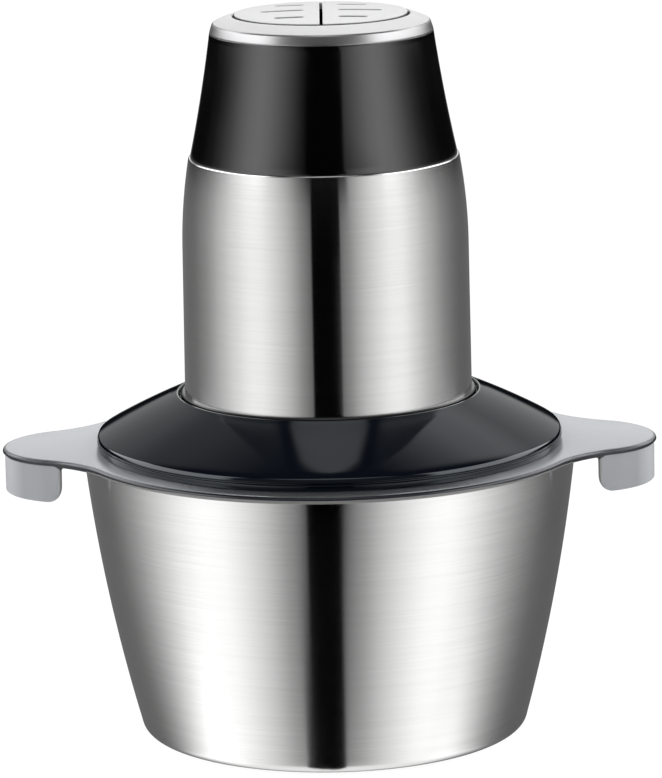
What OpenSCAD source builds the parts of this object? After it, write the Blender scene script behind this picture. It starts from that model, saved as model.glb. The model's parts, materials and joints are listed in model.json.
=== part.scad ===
// Two-litre electric food chopper: a steel bowl with an eared rim ring, a
// domed lid, twin pairs of blades on a spindle, and a lift-off motor unit
// with a planetary reduction and two half-moon push buttons.
// Z is up, the bowl stands on z = 0, and the two ears lie along X.

/* [Bowl] */
// Outer radius of the bowl wall under the rim
bowl_rim_r = 93; // [91:0.5:94]
// Outer radius of the wall where it leaves the bottom corner
bowl_foot_r = 73.7; // [71:0.5:76]
// Height of the bowl up to the flat of its rim
bowl_h = 109.6; // [105:0.5:116]
// How far the wall bows out between foot and rim
bowl_belly = 2; // [0:0.2:3]
// Thickness of the bowl's sheet steel
bowl_wall = 0.8; // [0.6:0.1:1.2]
// Radius of the bottom corner
bowl_corner = 5; // [4:0.5:6]
// Radius of the raised panel in the underside
foot_panel_r = 52; // [40:1:58]

/* [Handle ring] */
// How far the round part of the ring stands out beyond the bowl's wall
ring_lip = 3.8; // [3.5:0.1:5]
// How far inside the bowl's wall the lid's mouth lies
ring_mouth = 7.5; // [7:0.1:8.5]
// Thickness of the ring's sheet steel
ring_t = 1.2; // [1:0.1:1.4]
// Depth of the turned-down edge, from the top of the plate
ring_skirt = 4.8; // [4:0.1:6]
// Depth of the turned-down mouth, from the top of the plate
ring_neck = 11; // [9:0.5:14]
// Radius of each ear's round end
ear_r = 28.2; // [26:0.2:30]
// How far an ear's tip stands out beyond the round part of the ring
ear_length = 27.2; // [24:0.2:30]
// Radius of the hollow curve between ear and ring
ear_fillet = 45; // [40:1:50]
// Distance from the round part of the ring to an ear's turned-down tab
tab_start = 4.7; // [4:0.1:6]
// Depth of the tab, from the top of the plate
tab_depth = 16.3; // [14:0.5:20]
// Radius of the tab's lower corners
tab_corner = 6; // [4:0.5:8]

/* [Lid] */
// How far the lid laps over the ring's mouth
lid_lap = 2.5; // [2:0.1:4]
// Wall thickness of the lid
lid_wall = 2.4; // [2:0.1:2.8]
// Height of the upright rim under the slope
lid_rim_h = 4.6; // [4:0.2:6]
// Height of the slope from rim to collar
lid_rise = 15.1; // [13:0.5:18]
// Width of the collar's top edge
lid_collar_w = 1.3; // [1:0.1:2]
// Depth of the recess that the motor unit stands in
lid_recess = 6.3; // [5.5:0.1:8]
// Depth of the plug below the rim ring's top
lid_plug = 10; // [9:0.5:12]
// Height of the seal on the plug
seal_h = 4; // [3:0.5:5]

/* [Blades] */
// Reach of the lower pair of blades
low_blade_reach = 67; // [60:1:69]
// Reach of the upper pair of blades
high_blade_reach = 60; // [54:1:70]
// Height of the lower blades' plate over the bowl's floor
low_blade_z = 12; // [11:0.5:16]
// Distance between the two blade plates
blade_pitch = 32; // [28:1:36]
// Thickness of a blade
blade_t = 1.4; // [1:0.1:1.8]
// Width of a blade at its root
blade_root_w = 19; // [14:1:20]
// Radius of the spindle that the hub turns on
spindle_r = 4; // [3.5:0.1:4.2]
// Height of the spindle's tip over the bowl's floor
spindle_h = 64; // [58:1:70]
// Radius of the hub where it passes the lid
hub_r = 9.8; // [9.4:0.1:11]

/* [Motor unit shell] */
// Outer radius of the motor unit's foot
foot_r = 55.7; // [55.2:0.1:57]
// Height of the foot's rim
foot_h = 6.8; // [6:0.2:9]
// Outer radius of the steel sleeve at its lower edge
sleeve_r = 54.3; // [53.8:0.1:54.8]
// Outer radius of the steel sleeve at its upper edge
sleeve_top_r = 50.8; // [50.2:0.1:51.2]
// Height of the steel sleeve
sleeve_h = 89.4; // [85:0.5:95]
// Height of the sleeve's curved shoulder
shoulder_h = 35.4; // [30:0.5:42]
// Thickness of the sleeve
sleeve_t = 0.7; // [0.6:0.1:0.9]
// Height of the upper housing that shows
upper_h = 46.6; // [44:0.2:50]
// Outer radius of the upper housing at its top edge
upper_top_r = 42.2; // [41.6:0.1:43.2]
// Wall thickness of the upper housing
upper_wall = 2.6; // [2.2:0.1:3]
// Height of the top ring's upright band
top_band_h = 3; // [2.4:0.1:4]
// Height of the top ring's slope
top_slope_h = 3.5; // [3:0.1:4.5]
// Inner radius of the cable inlet
inlet_r = 3.5; // [3:0.1:3.8]

/* [Buttons] */
// Width of the top ring, from its edge to the buttons
top_ring_w = 9.9; // [9:0.1:11]
// Gap between the two buttons
button_gap = 1.2; // [0.8:0.1:2]
// Rise of the buttons' domed top
button_dome = 1; // [0.6:0.1:4]
// Travel of a button
button_travel = 2.5; // [2:0.1:3]
// Width of the grooves in a button
groove_w = 3; // [1.4:0.1:3.4]
// Distance between neighbouring grooves
groove_pitch = 17; // [12:0.2:17.4]
// Depth of the grooves
groove_depth = 0.9; // [0.6:0.1:1.4]

/* [Gearbox] */
// Module of the gears
gear_m = 1.1; // [1:0.02:1.14]
// Width of the teeth
gear_face = 10; // [8:0.5:12]
// Radius of the pins that carry the planets
planet_pin_r = 2.5; // [2:0.1:3]
// Radius of the output shaft
output_r = 6; // [5:0.1:6.5]

/* [Motor] */
// Radius of the motor shaft
shaft_r = 4; // [3.5:0.1:4.4]
// Radius of the armature
core_r = 19; // [18:0.2:20]
// Height of the stack of laminations
stack_h = 26; // [22:1:28]
// Air gap between armature and stator
air_gap = 0.6; // [0.4:0.1:0.8]

/* [Hidden] */

$fn = 96;
// Clearance of a running fit, on the radius
run = 0.05;
// Gap between parts that slide or drop into each other
gap = 0.3;
// Overlap that makes a cut pass its face
cut = 1;
// Size of a block that takes away all on one side
block = 100;

// Heights, from the table upwards
floor_z = 2 * bowl_wall;
plate_z = bowl_h + ring_t;
slope_z = plate_z + lid_rim_h;
collar_z = slope_z + lid_rise;
seat_z = collar_z - lid_recess;
sleeve_z = seat_z + foot_h;
housing_z = sleeve_z + sleeve_h;
band_z = housing_z + upper_h;
slope_top_z = band_z + top_band_h + top_slope_h;

// The ring and the lid follow the bowl's rim
ring_r = bowl_rim_r + ring_lip;
ring_bore_r = bowl_rim_r - ring_mouth;
ear_reach = ring_r + ear_length;
tab_x = ring_r + tab_start;
lid_r = ring_bore_r + lid_lap;

// Rounding of the handle ring's edge, how far its skirt is set back, and the bowl's flange inside it
edge_r = 1.8;
ring_setback = 0.8;
bowl_flange_r = ring_r - ring_setback - ring_t - 0.1;

// Radii of the lid and the shell
recess_r = foot_r + 0.9;
collar_r = recess_r + lid_collar_w;
plug_r = ring_bore_r - 0.8;
lid_tube_r = hub_r + 0.8;
spigot_r = sleeve_r - sleeve_t - 0.2;
housing_r = sleeve_top_r - 1.1;
button_r = upper_top_r - top_ring_w;
top_bore_r = button_r + 0.4;

// Heights inside the motor unit
base_t = 2.6;
coupling_z = seat_z + 2.4;
coupling_h = 13;
cover_z = coupling_z + coupling_h + 0.8;
cover_t = 3;
gear_z = cover_z + cover_t;
carrier_z = gear_z + 0.6;
carrier_t = 3;
planet_z = carrier_z + carrier_t + 0.4;
mplate_z = planet_z + gear_face + 1.2;
mplate_t = 2.6;
fan_z = mplate_z + mplate_t + 4.2;
fan_h = 6;
coil_t = 6.7;
stack_z = fan_z + fan_h + coil_t + 2.5;
stack_top = stack_z + stack_h;
comm_z = stack_top + coil_t + 1.4;
comm_h = 12;
bridge_z = comm_z + comm_h + 4;
shaft_top = bridge_z + 8;

// Tooth counts and radii of the gears
sun_n = 15;
planet_n = 15;
ring_n = sun_n + 2 * planet_n;
planets = 3;
pressure = 25;
backlash = 0.06;
gear_gap = gear_m * (sun_n + planet_n) / 2;
gear_case_r = gear_m * ring_n / 2 + 9.5;
post_ring_r = gear_case_r + 6;
bolt_x = core_r + 16.5;

// Points on a circle and along an arc
function polar(r, a) = [r * cos(a), r * sin(a)];
function arc(c, r, a0, a1, n) = [for (i = [0:n]) c + polar(r, a0 + (a1 - a0) * i / n)];
// Points from p to q that bow s to the right of the way from p to q
function bow(p, q, s, n) = let (d = q - p, side = [d[1], -d[0]] / norm(d))
    [for (i = [0:n]) let (t = i / n) p + d * t + side * 4 * s * t * (1 - t)];
function backwards(points) = [for (i = [len(points) - 1:-1:0]) points[i]];
// Outline of a slot with round ends, along X
function slot_outline(l, w) = concat(arc([l / 2 - w / 2, 0], w / 2, -90, 90, 8),
    arc([w / 2 - l / 2, 0], w / 2, 90, 270, 8));

module turned(points) { rotate_extrude() polygon(points); }
module ring(r_out, r_in, h) {
    difference() {
        cylinder(r = r_out, h = h);
        translate([0, 0, -cut]) cylinder(r = r_in, h = h + 2 * cut);
    }
}
module around(n, r = 0, start = 0) {
    for (i = [0:n - 1]) rotate(start + 360 * i / n) translate([r, 0, 0]) children();
}
// Pan-headed screw that points up, its shank starting at z = 0
module screw(r, length, head_r, head_h) {
    translate([0, 0, -head_h]) cylinder(r = head_r, h = head_h);
    cylinder(r = r, h = length);
}

// Closed skin through loops of points that all have the same length
module loop_skin(loops) {
    n = len(loops[0]);
    m = len(loops);
    polyhedron(points = [for (l = loops) each l],
        faces = [for (k = [0:m - 1]) for (i = [0:n - 1])
            let (a = k * n + i, b = k * n + (i + 1) % n,
                c = ((k + 1) % m) * n + (i + 1) % n, d = ((k + 1) % m) * n + i)
            each [[a, c, b], [a, d, c]]]);
}
// Skin along a path of equal sections, with a cap at each end
module path_skin(sections) {
    n = len(sections[0]);
    m = len(sections);
    polyhedron(points = [for (s = sections) each s],
        faces = concat([[for (i = [0:n - 1]) i]], [[for (i = [n - 1:-1:0]) (m - 1) * n + i]],
            [for (k = [0:m - 2]) for (i = [0:n - 1])
                let (a = k * n + i, b = k * n + (i + 1) % n,
                    c = (k + 1) * n + (i + 1) % n, d = (k + 1) * n + i)
                each [[a, c, b], [a, d, c]]]));
}

// Bowl
wall_foot = [bowl_foot_r, 0.7 * bowl_corner];
wall_top = [bowl_rim_r, bowl_h - 3.6];
corner_end = 24;
panel_step = 2;
rim_flare = 0.3;
function bowl_wall_curve(inset) = bow(wall_foot - [inset, 0], wall_top - [inset, 0], bowl_belly, 12);
function bowl_corner_curve(inset) =
    arc([bowl_foot_r - 0.95 * bowl_corner, bowl_corner], bowl_corner - inset, -90, -corner_end, 5);
module bowl() {
    outside = concat([[0, bowl_wall], [foot_panel_r, bowl_wall], [foot_panel_r + panel_step, 0]],
        bowl_corner_curve(0), bowl_wall_curve(0),
        [[bowl_rim_r + rim_flare, bowl_h - bowl_wall], [bowl_flange_r, bowl_h - bowl_wall],
            [bowl_flange_r, bowl_h]]);
    inside = concat([[0, floor_z], [foot_panel_r, floor_z], [foot_panel_r + panel_step, bowl_wall]],
        bowl_corner_curve(bowl_wall), bowl_wall_curve(bowl_wall),
        [[bowl_rim_r + rim_flare - bowl_wall, bowl_h]]);
    color([0.75, 0.75, 0.74]) turned(concat(outside, backwards(inside)));
}

// Spindle, welded to the floor of the bowl
boss_t = 2.4;
boss_r = 14;
boss_rim_h = 0.9;
boss_chamfer = 1.5;
tip_chamfer = [1.2, 2];
module bowl_spindle() {
    color([0.66, 0.67, 0.69]) translate([0, 0, floor_z])
        turned([[0, 0], [boss_r, 0], [boss_r, boss_rim_h], [boss_r - boss_chamfer, boss_t],
            [spindle_r, boss_t], [spindle_r, spindle_h - tip_chamfer[1]],
            [spindle_r - tip_chamfer[0], spindle_h], [0, spindle_h]]);
}

// Handle ring, one pressing: a flat plate, its edge turned down all round,
// deeper at the two ears, and its mouth turned down inside the bowl
ear_x = ear_reach - ear_r;
fil_main = ring_r + ear_fillet;
fil_ear = ear_r + ear_fillet;
fil_x = (fil_main * fil_main + ear_x * ear_x - fil_ear * fil_ear) / (2 * ear_x);
fil_y = sqrt(fil_main * fil_main - fil_x * fil_x);
ear_end = atan2(fil_y, fil_x - ear_x);
main_start = atan2(fil_y, fil_x);
fil_start = ear_end - 180;
fil_end = main_start - 180;
fil_tab = -acos((tab_x - fil_x) / ear_fillet);
tab_run = ear_fillet * (fil_start - fil_tab) * PI / 180;
// Stations along a quarter of the outline: [which arc, angle, distance past the tab's edge]
quarter = concat(
    [for (i = [0:8]) let (a = ear_end * i / 8) [0, a, tab_run + ear_r * (ear_end - a) * PI / 180]],
    [for (i = [1:6]) [1, fil_start + (fil_tab - fil_start) * i / 6, tab_run * (1 - i / 6)]],
    [for (i = [0:5]) [1, fil_tab - 0.4 + (fil_end - fil_tab + 0.4) * i / 6, -1]],
    [for (i = [0:11]) [2, main_start + (90 - main_start) * i / 11, -1]]);
function station_xy(s, inset) = s[0] == 0 ? [ear_x, 0] + polar(ear_r - inset, s[1])
    : s[0] == 1 ? [fil_x, fil_y] + polar(ear_fillet + inset, s[1]) : polar(ring_r - inset, s[1]);
function station_drop(s) = s[2] < 0 ? ring_skirt : s[2] >= tab_corner ? tab_depth
    : tab_depth - tab_corner + sqrt(max(0, tab_corner * tab_corner - pow(tab_corner - s[2], 2)));
function mirrored(points, sx, sy) = [for (p = points) [p[0] * sx, p[1] * sy, p[2]]];
// The whole outline from one quarter, without doubling the points on the axes
function round_four(q) = let (n = len(q), inner = [for (i = [1:n - 2]) q[i]])
    concat([q[0]], inner, [q[n - 1]], backwards(mirrored(inner, -1, 1)), mirrored([q[0]], -1, 1),
        mirrored(inner, -1, -1), mirrored([q[n - 1]], 1, -1), backwards(mirrored(inner, 1, -1)));
function outline_loop(inset, drop) =
    round_four([for (s = quarter) let (p = station_xy(s, inset)) [p[0], p[1], plate_z - drop]]);
function skirt_loop(inset) =
    round_four([for (s = quarter) let (p = station_xy(s, inset)) [p[0], p[1], plate_z - station_drop(s)]]);
function mouth_loop(r, drop) = round_four([for (s = quarter)
    let (p = station_xy(s, 0), q = polar(r, atan2(p[1], p[0])))
    [q[0], q[1], plate_z - drop]]);
module handle_ring() {
    color([0.80, 0.81, 0.83]) loop_skin(concat(
        [mouth_loop(ring_bore_r, 0.6), mouth_loop(ring_bore_r + 0.6, 0)],
        [for (a = [0:30:90]) outline_loop(edge_r * (1 - sin(a)), edge_r * (1 - cos(a)))],
        [outline_loop(ring_setback, edge_r + 0.4), skirt_loop(ring_setback),
            skirt_loop(ring_setback + ring_t),
            outline_loop(ring_setback + ring_t, ring_t),
            mouth_loop(ring_bore_r + ring_t, ring_t), mouth_loop(ring_bore_r + ring_t, ring_neck),
            mouth_loop(ring_bore_r, ring_neck)]));
}

// Lid
tube_drop = 8;
key_r = 47;
key_l = 9;
key_w = 4;
key_h = 2.2;
seal_z = plate_z - 3.4 - seal_h;
seal_groove = 1.2;
module lid() {
    slope = [lid_r - 0.6 - collar_r, slope_z - 0.2 - collar_z];
    outside = concat([[recess_r, collar_z - 0.5], [recess_r + 0.4, collar_z], [collar_r - 0.4, collar_z]],
        [[collar_r, collar_z - 0.3]],
        [[lid_r - 0.8, slope_z + 0.3], [lid_r - 0.2, slope_z - 0.3], [lid_r, slope_z - 1]],
        [[lid_r, plate_z + 3.2], [lid_r - 0.5, plate_z + 2.9], [lid_r - 0.5, plate_z + 2.5],
            [lid_r, plate_z + 2.2]],
        [[lid_r, plate_z], [plug_r, plate_z], [plug_r, seal_z + seal_h],
            [plug_r - seal_groove, seal_z + seal_h]],
        [[plug_r - seal_groove, seal_z], [plug_r, seal_z], [plug_r, plate_z - lid_plug + 0.6]]);
    inner_r = plug_r - seal_groove - lid_wall;
    under = collar_z - lid_wall * 1.15 + (inner_r - collar_r) * slope[1] / slope[0];
    floor_r = collar_r + 1.5;
    inside = [[plug_r - 0.6, plate_z - lid_plug], [inner_r, plate_z - lid_plug], [inner_r, under],
        [floor_r, collar_z - lid_wall * 1.15 + 1.5 * slope[1] / slope[0]],
        [floor_r, seat_z - lid_wall], [lid_tube_r + lid_wall, seat_z - lid_wall],
        [lid_tube_r + lid_wall, seat_z - lid_wall - tube_drop], [lid_tube_r, seat_z - lid_wall - tube_drop],
        [lid_tube_r, seat_z], [recess_r, seat_z]];
    color([0.20, 0.22, 0.25]) {
        turned(concat(outside, inside));
        around(3, key_r) translate([-key_w / 2, -key_l / 2, seat_z - 0.5])
            cube([key_w, key_l, key_h + 0.5]);
    }
}
module lid_seal() {
    back = plug_r - seal_groove;
    lip = ring_bore_r - gap;
    color([0.85, 0.86, 0.87]) translate([0, 0, seal_z])
        turned([[back, 0], [plug_r, 0], [lip, seal_h * 0.15], [lip, seal_h * 0.3], [plug_r, seal_h * 0.42],
            [plug_r, seal_h * 0.58], [lip, seal_h * 0.7], [lip, seal_h * 0.85], [plug_r, seal_h],
            [back, seal_h]]);
}

// Blade assembly: two pairs of swept blades threaded on the hub's core
core_hub_r = spindle_r + 4.5;
hub_z = floor_z + boss_t + gap;
lower_z = floor_z + low_blade_z;
upper_z = lower_z + blade_pitch;
disc_t = blade_t + 0.8;
disc_r = core_hub_r + 6;
spline_n = 6;
spline_r = 8.2;
head_z = seat_z + 0.7;
head_h = 11.4;
function spline(r, grow) = [for (i = [0:spline_n - 1]) for (k = [[-16, 1.9], [-10, 0], [10, 0], [16, 1.9]])
    polar(r + grow - k[1], i * 360 / spline_n + k[0])];
module blade_hub() {
    shoulder = upper_z + disc_t;
    tip = floor_z + spindle_h;
    color([0.88, 0.88, 0.86]) difference() {
        union() {
            turned([[0, hub_z], [core_hub_r, hub_z], [core_hub_r, shoulder], [core_hub_r + 4, shoulder],
                [core_hub_r + 4, shoulder + 6], [hub_r, shoulder + 14], [hub_r, head_z - 1],
                [hub_r - 1, head_z], [0, head_z]]);
            translate([0, 0, head_z - 1]) linear_extrude(head_h + 1) polygon(spline(spline_r, 0));
        }
        translate([0, 0, hub_z - cut]) cylinder(r = bush_r, h = bush_h + cut);
        cylinder(r = spindle_r + gap, h = tip + gap);
    }
}
bush_r = spindle_r + 1.6;
bush_h = 26;
module hub_bush() {
    color([0.80, 0.62, 0.30]) translate([0, 0, hub_z]) ring(bush_r, spindle_r + run, bush_h);
}
nut_w = 4.6;
module blade_nut() {
    h = lower_z - hub_z;
    color([0.72, 0.73, 0.75]) translate([0, 0, hub_z]) difference() {
        cylinder(r = core_hub_r + nut_w, h = h, $fn = 6);
        translate([0, 0, -cut]) cylinder(r = core_hub_r, h = h + 2 * cut);
    }
}
module blade_spacer() {
    color([0.88, 0.88, 0.86]) translate([0, 0, lower_z + disc_t]) difference() {
        ring(core_hub_r + 3.4, core_hub_r, blade_pitch - disc_t);
        for (k = [1:4]) translate([0, 0, (blade_pitch - disc_t) * k / 5 - 0.8])
            ring(core_hub_r + 6, core_hub_r + 2.4, 1.6);
    }
}
// One swept blade: sharp along its leading edge, and curving up
low_sweep = 34;
low_lift = 5;
low_turn = 20;
high_sweep = 30;
high_lift = 14;
high_turn = low_turn + 90;
blade_bevel = 3.2;
blade_taper = 0.62;
root_inset = 2.5;
seat_in_disc = 0.4;
module blade(reach, sweep, lift, z0) {
    n = 16;
    root = core_hub_r + root_inset;
    path_skin([for (i = [0:n]) let (t = i / n, r = root + (reach - root) * t, a = -sweep * t * t,
            w = blade_root_w * (1 - blade_taper * t * t) / 2, z = z0 + lift * t * t,
            along = polar(1, a - 1.5 * sweep * t), side = [-along[1], along[0]], c = polar(r, a))
        [for (k = [[w, 0], [w - blade_bevel, blade_t], [-w, blade_t], [-w, 0]])
            [c[0] + side[0] * k[0], c[1] + side[1] * k[0], z + k[1]]]]);
}
module blade_pair(reach, sweep, lift, z0, turn) {
    color([0.82, 0.83, 0.85]) {
        translate([0, 0, z0]) ring(disc_r, core_hub_r, disc_t);
        around(2, 0, turn) blade(reach - 1, sweep, lift, z0 + seat_in_disc);
    }
}
module lower_blades() { blade_pair(low_blade_reach, low_sweep, low_lift, lower_z, low_turn); }
module upper_blades() { blade_pair(high_blade_reach, high_sweep, high_lift, upper_z, high_turn); }

// Foot of the motor unit, with posts for the gearbox and pockets for the lid's keys
throat_r = 17.4;
throat_h = 9;
base_wall = 2.4;
spigot_h = 10;
post_r = 4.6;
screw_r = 1.5;
screw_head_r = 3.1;
module at_posts() { around(4, post_ring_r, 45) children(); }
module motor_base() {
    color([0.07, 0.07, 0.08]) difference() {
        union() {
            turned([[throat_r, seat_z], [foot_r - 1, seat_z], [foot_r, seat_z + 1], [foot_r, sleeve_z - 0.4],
                [foot_r - 0.4, sleeve_z], [spigot_r, sleeve_z], [spigot_r, sleeve_z + spigot_h],
                [spigot_r - base_wall, sleeve_z + spigot_h], [spigot_r - base_wall, seat_z + base_t],
                [throat_r + base_wall, seat_z + base_t], [throat_r + base_wall, seat_z + throat_h],
                [throat_r, seat_z + throat_h]]);
            translate([0, 0, seat_z + base_t - 0.5]) at_posts()
                cylinder(r = post_r, h = cover_z - seat_z - base_t + 0.5);
        }
        translate([0, 0, seat_z - cut]) {
            at_posts() cylinder(r = screw_r + 0.2, h = cover_z - seat_z + 2 * cut);
            at_posts() cylinder(r = screw_head_r + gap, h = cut + 4);
            around(3, key_r) translate([-key_w / 2 - gap, -key_l / 2 - gap, 0])
                cube([key_w + 2 * gap, key_l + 2 * gap, cut + base_t + 1]);
        }
    }
}
module base_screws() {
    color([0.7, 0.7, 0.72]) translate([0, 0, seat_z + 4]) at_posts()
        screw(screw_r, gear_z - seat_z + 2, screw_head_r, 2.4);
}

// Steel sleeve: almost straight, with a curved shoulder
function sleeve_curve(inset) = let (top = sleeve_h - shoulder_h, drop = sleeve_r - 0.4 - sleeve_top_r)
    concat([[sleeve_r - inset, sleeve_z]],
        [for (i = [0:8]) let (t = i / 8)
            [sleeve_r - inset - 0.4 - drop * t * t, sleeve_z + top + shoulder_h * t]]);
module steel_sleeve() {
    color([0.72, 0.72, 0.71]) turned(concat(sleeve_curve(0), backwards(sleeve_curve(sleeve_t))));
}

// Upper housing: a hollow curve up to the top ring, and a spigot down inside the sleeve
ledge_z = housing_z + 27;
ledge_r = 35;
spring_x = 18;
inlet_z = housing_z + 14;
inlet_len = 12;
inlet_wall = 3;
inlet_flange_r = inlet_r + 4.6;
inlet_flange_t = 2;
function upper_curve(inset) =
    bow([housing_r - inset, housing_z + 1], [upper_top_r - inset, band_z], -0.65, 8);
function upper_r_at(z) = housing_r + (upper_top_r - housing_r) * (z - housing_z) / upper_h;
lip_r = sleeve_top_r - sleeve_t - 0.3;
inlet_y = upper_r_at(inlet_z) + 2.5;
module upper_housing() {
    lip_in = housing_r - upper_wall;
    color([0.03, 0.03, 0.03]) difference() {
        union() {
            turned(concat([[lip_r + 0.2, housing_z - 8], [lip_r, housing_z], [sleeve_top_r, housing_z],
                [housing_r, housing_z + 1]],
                upper_curve(0), backwards(upper_curve(upper_wall)),
                [[lip_in, housing_z], [lip_in, housing_z - 8]]));
            translate([0, 0, ledge_z - 3]) ring(upper_r_at(ledge_z) - 1, ledge_r, 3);
        }
        translate([0, 0, inlet_z]) rotate([-90, 0, 0])
            cylinder(r = inlet_r + inlet_wall, h = housing_r + cut);
        translate([0, inlet_y - inlet_flange_t, inlet_z]) rotate([-90, 0, 0])
            cylinder(r = inlet_flange_r + 0.2, h = inlet_len);
    }
}
module cable_inlet() {
    color([0.05, 0.05, 0.05]) translate([0, inlet_y, inlet_z]) rotate([90, 0, 0]) difference() {
        union() {
            cylinder(r = inlet_flange_r, h = inlet_flange_t);
            cylinder(r = inlet_r + inlet_wall, h = inlet_len);
        }
        translate([0, 0, -cut]) cylinder(r = inlet_r, h = inlet_len + 2 * cut);
    }
}

// Top ring that keeps the buttons in
rest_flange_z = band_z - 1;
flange_t = 1.6;
flange_w = 2;
module top_ring() {
    z1 = band_z + top_band_h;
    under = rest_flange_z + flange_t + gap;
    counter_r = button_r + flange_w + 0.5;
    color([0.85, 0.85, 0.86]) turned([[upper_top_r, band_z], [upper_top_r, band_z + 0.6],
        [upper_top_r - 0.8, z1 - 0.4],
        [upper_top_r - 1.2, z1], [top_bore_r + 0.5, slope_top_z], [top_bore_r, slope_top_z - 0.5],
        [top_bore_r, under], [counter_r, under], [counter_r, band_z - 4],
        [upper_top_r - upper_wall - 0.3, band_z - 4],
        [upper_top_r - upper_wall - 0.3, band_z]]);
}

// Half-moon push buttons on sprung guide pins
dome_r = (button_r * button_r + button_dome * button_dome) / (2 * button_dome);
button_edge_z = slope_top_z + 0.4;
dome_top_z = button_edge_z + button_dome;
dome_c = dome_top_z - dome_r;
guide_r = 2.4;
stem_top = button_edge_z - 1.5;
plate_t = 2;
plate_top = ledge_z + plate_t;
switch_h = 6.5;
switch_y = -13;
button_wall = 2;
button_top_t = 2.4;
plunger_r = 2;
// Reach of a groove from the middle line, of the middle one and of its neighbours
groove_inner = 6;
groove_outer = 23;
groove_outer_side = 17.6;
module half_button() {
    difference() {
        union() {
            difference() {
                union() {
                    translate([0, 0, rest_flange_z]) cylinder(r = button_r, h = dome_top_z - rest_flange_z);
                    translate([0, 0, rest_flange_z]) cylinder(r = button_r + flange_w, h = flange_t);
                }
                translate([0, 0, rest_flange_z - cut])
                    cylinder(r = button_r - button_wall,
                        h = button_edge_z - button_top_t - rest_flange_z + cut);
            }
            translate([spring_x, 0, plate_top - 1]) cylinder(r = guide_r, h = stem_top - plate_top + 1);
            translate([spring_x, switch_y, plate_top + switch_h + button_travel + gap])
                cylinder(r = plunger_r, h = stem_top - plate_top - switch_h - button_travel - gap);
        }
        difference() {
            translate([-block / 2, -block / 2, rest_flange_z]) cube(block);
            translate([0, 0, dome_c]) sphere(r = dome_r, $fn = 240);
        }
        translate([button_gap / 2 - block, -block / 2, ledge_z]) cube(block);
        for (k = [-1:1]) let (outer = k == 0 ? groove_outer : groove_outer_side)
            difference() {
                translate([(outer + groove_inner) / 2, k * groove_pitch, button_edge_z - button_top_t])
                    linear_extrude(button_top_t + button_dome + cut)
                        polygon(slot_outline(outer - groove_inner, groove_w));
                translate([0, 0, dome_c]) sphere(r = dome_r - groove_depth, $fn = 240);
            }
    }
}
module low_button() { color([0.86, 0.86, 0.87]) rotate(180) half_button(); }
module high_button() { color([0.86, 0.86, 0.87]) half_button(); }

// Coil spring round each guide pin
spring_r = 6;
wire_r = 0.45;
module button_spring() {
    turns = 6;
    z0 = plate_top + 0.5;
    z1 = button_edge_z - button_top_t - 0.5;
    steps = turns * 12;
    color([0.6, 0.6, 0.62]) path_skin([for (i = [0:steps]) let (a = 360 * turns * i / steps)
        [for (k = [5:-1:0]) let (q = polar(wire_r, 60 * k), c = polar(spring_r + q[0], a))
            [spring_x + c[0], c[1], z0 + (z1 - z0) * i / steps + q[1]]]]);
}
module low_button_spring() { rotate(180) button_spring(); }
module high_button_spring() { button_spring(); }

// Plate under the buttons, with their guide sleeves
module at_switch_screws() { around(4, ledge_r + 1.6, 45) children(); }
guide_drop = 5;
guide_rise = 8;
switch_screw_r = 1.1;
module switch_plate() {
    color([0.16, 0.16, 0.17]) difference() {
        union() {
            translate([0, 0, ledge_z]) cylinder(r = upper_r_at(ledge_z) - upper_wall - 1, h = plate_t);
            around(2, spring_x) translate([0, 0, ledge_z - guide_drop])
                cylinder(r = guide_r + 2, h = guide_drop + plate_t + guide_rise);
            around(2, board_post_x) translate([0, 0, ledge_z - board_drop])
                cylinder(r = 2.5, h = board_drop + 0.5);
        }
        around(2, spring_x) translate([0, 0, ledge_z - guide_drop - cut])
            cylinder(r = guide_r + run, h = guide_drop + plate_t + guide_rise + 2 * cut);
        translate([0, 0, ledge_z - cut]) at_switch_screws()
            cylinder(r = switch_screw_r, h = plate_t + 2 * cut);
    }
}
module switch_plate_screws() {
    color([0.7, 0.7, 0.72]) translate([0, 0, plate_top]) mirror([0, 0, 1])
        at_switch_screws() screw(switch_screw_r, plate_t, 1.9, 1.3);
}
module speed_switches() {
    color([0.12, 0.12, 0.13]) around(2) translate([spring_x, switch_y, plate_top]) {
        translate([-switch_size[0] / 2, -switch_size[1] / 2, 0])
            cube([switch_size[0], switch_size[1], switch_h - 1]);
        translate([0, 0, switch_h - 1.5]) cylinder(r = 1.4, h = 1.5);
    }
}
switch_size = [10, 6];
board_size = [28, 18, 1.6];
board_post_x = 8;
board_drop = 6;
module control_board() {
    color([0.10, 0.35, 0.20])
        translate([-board_size[0] / 2, -board_size[1] / 2, ledge_z - board_drop - board_size[2]])
        cube(board_size);
}
capacitor_size = [18, 8, 10];
capacitor_y = 14;
module suppressor() {
    color([0.75, 0.62, 0.15]) translate([-capacitor_size[0] / 2, capacitor_y, ledge_z - capacitor_size[2]])
        cube(capacitor_size);
}

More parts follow.
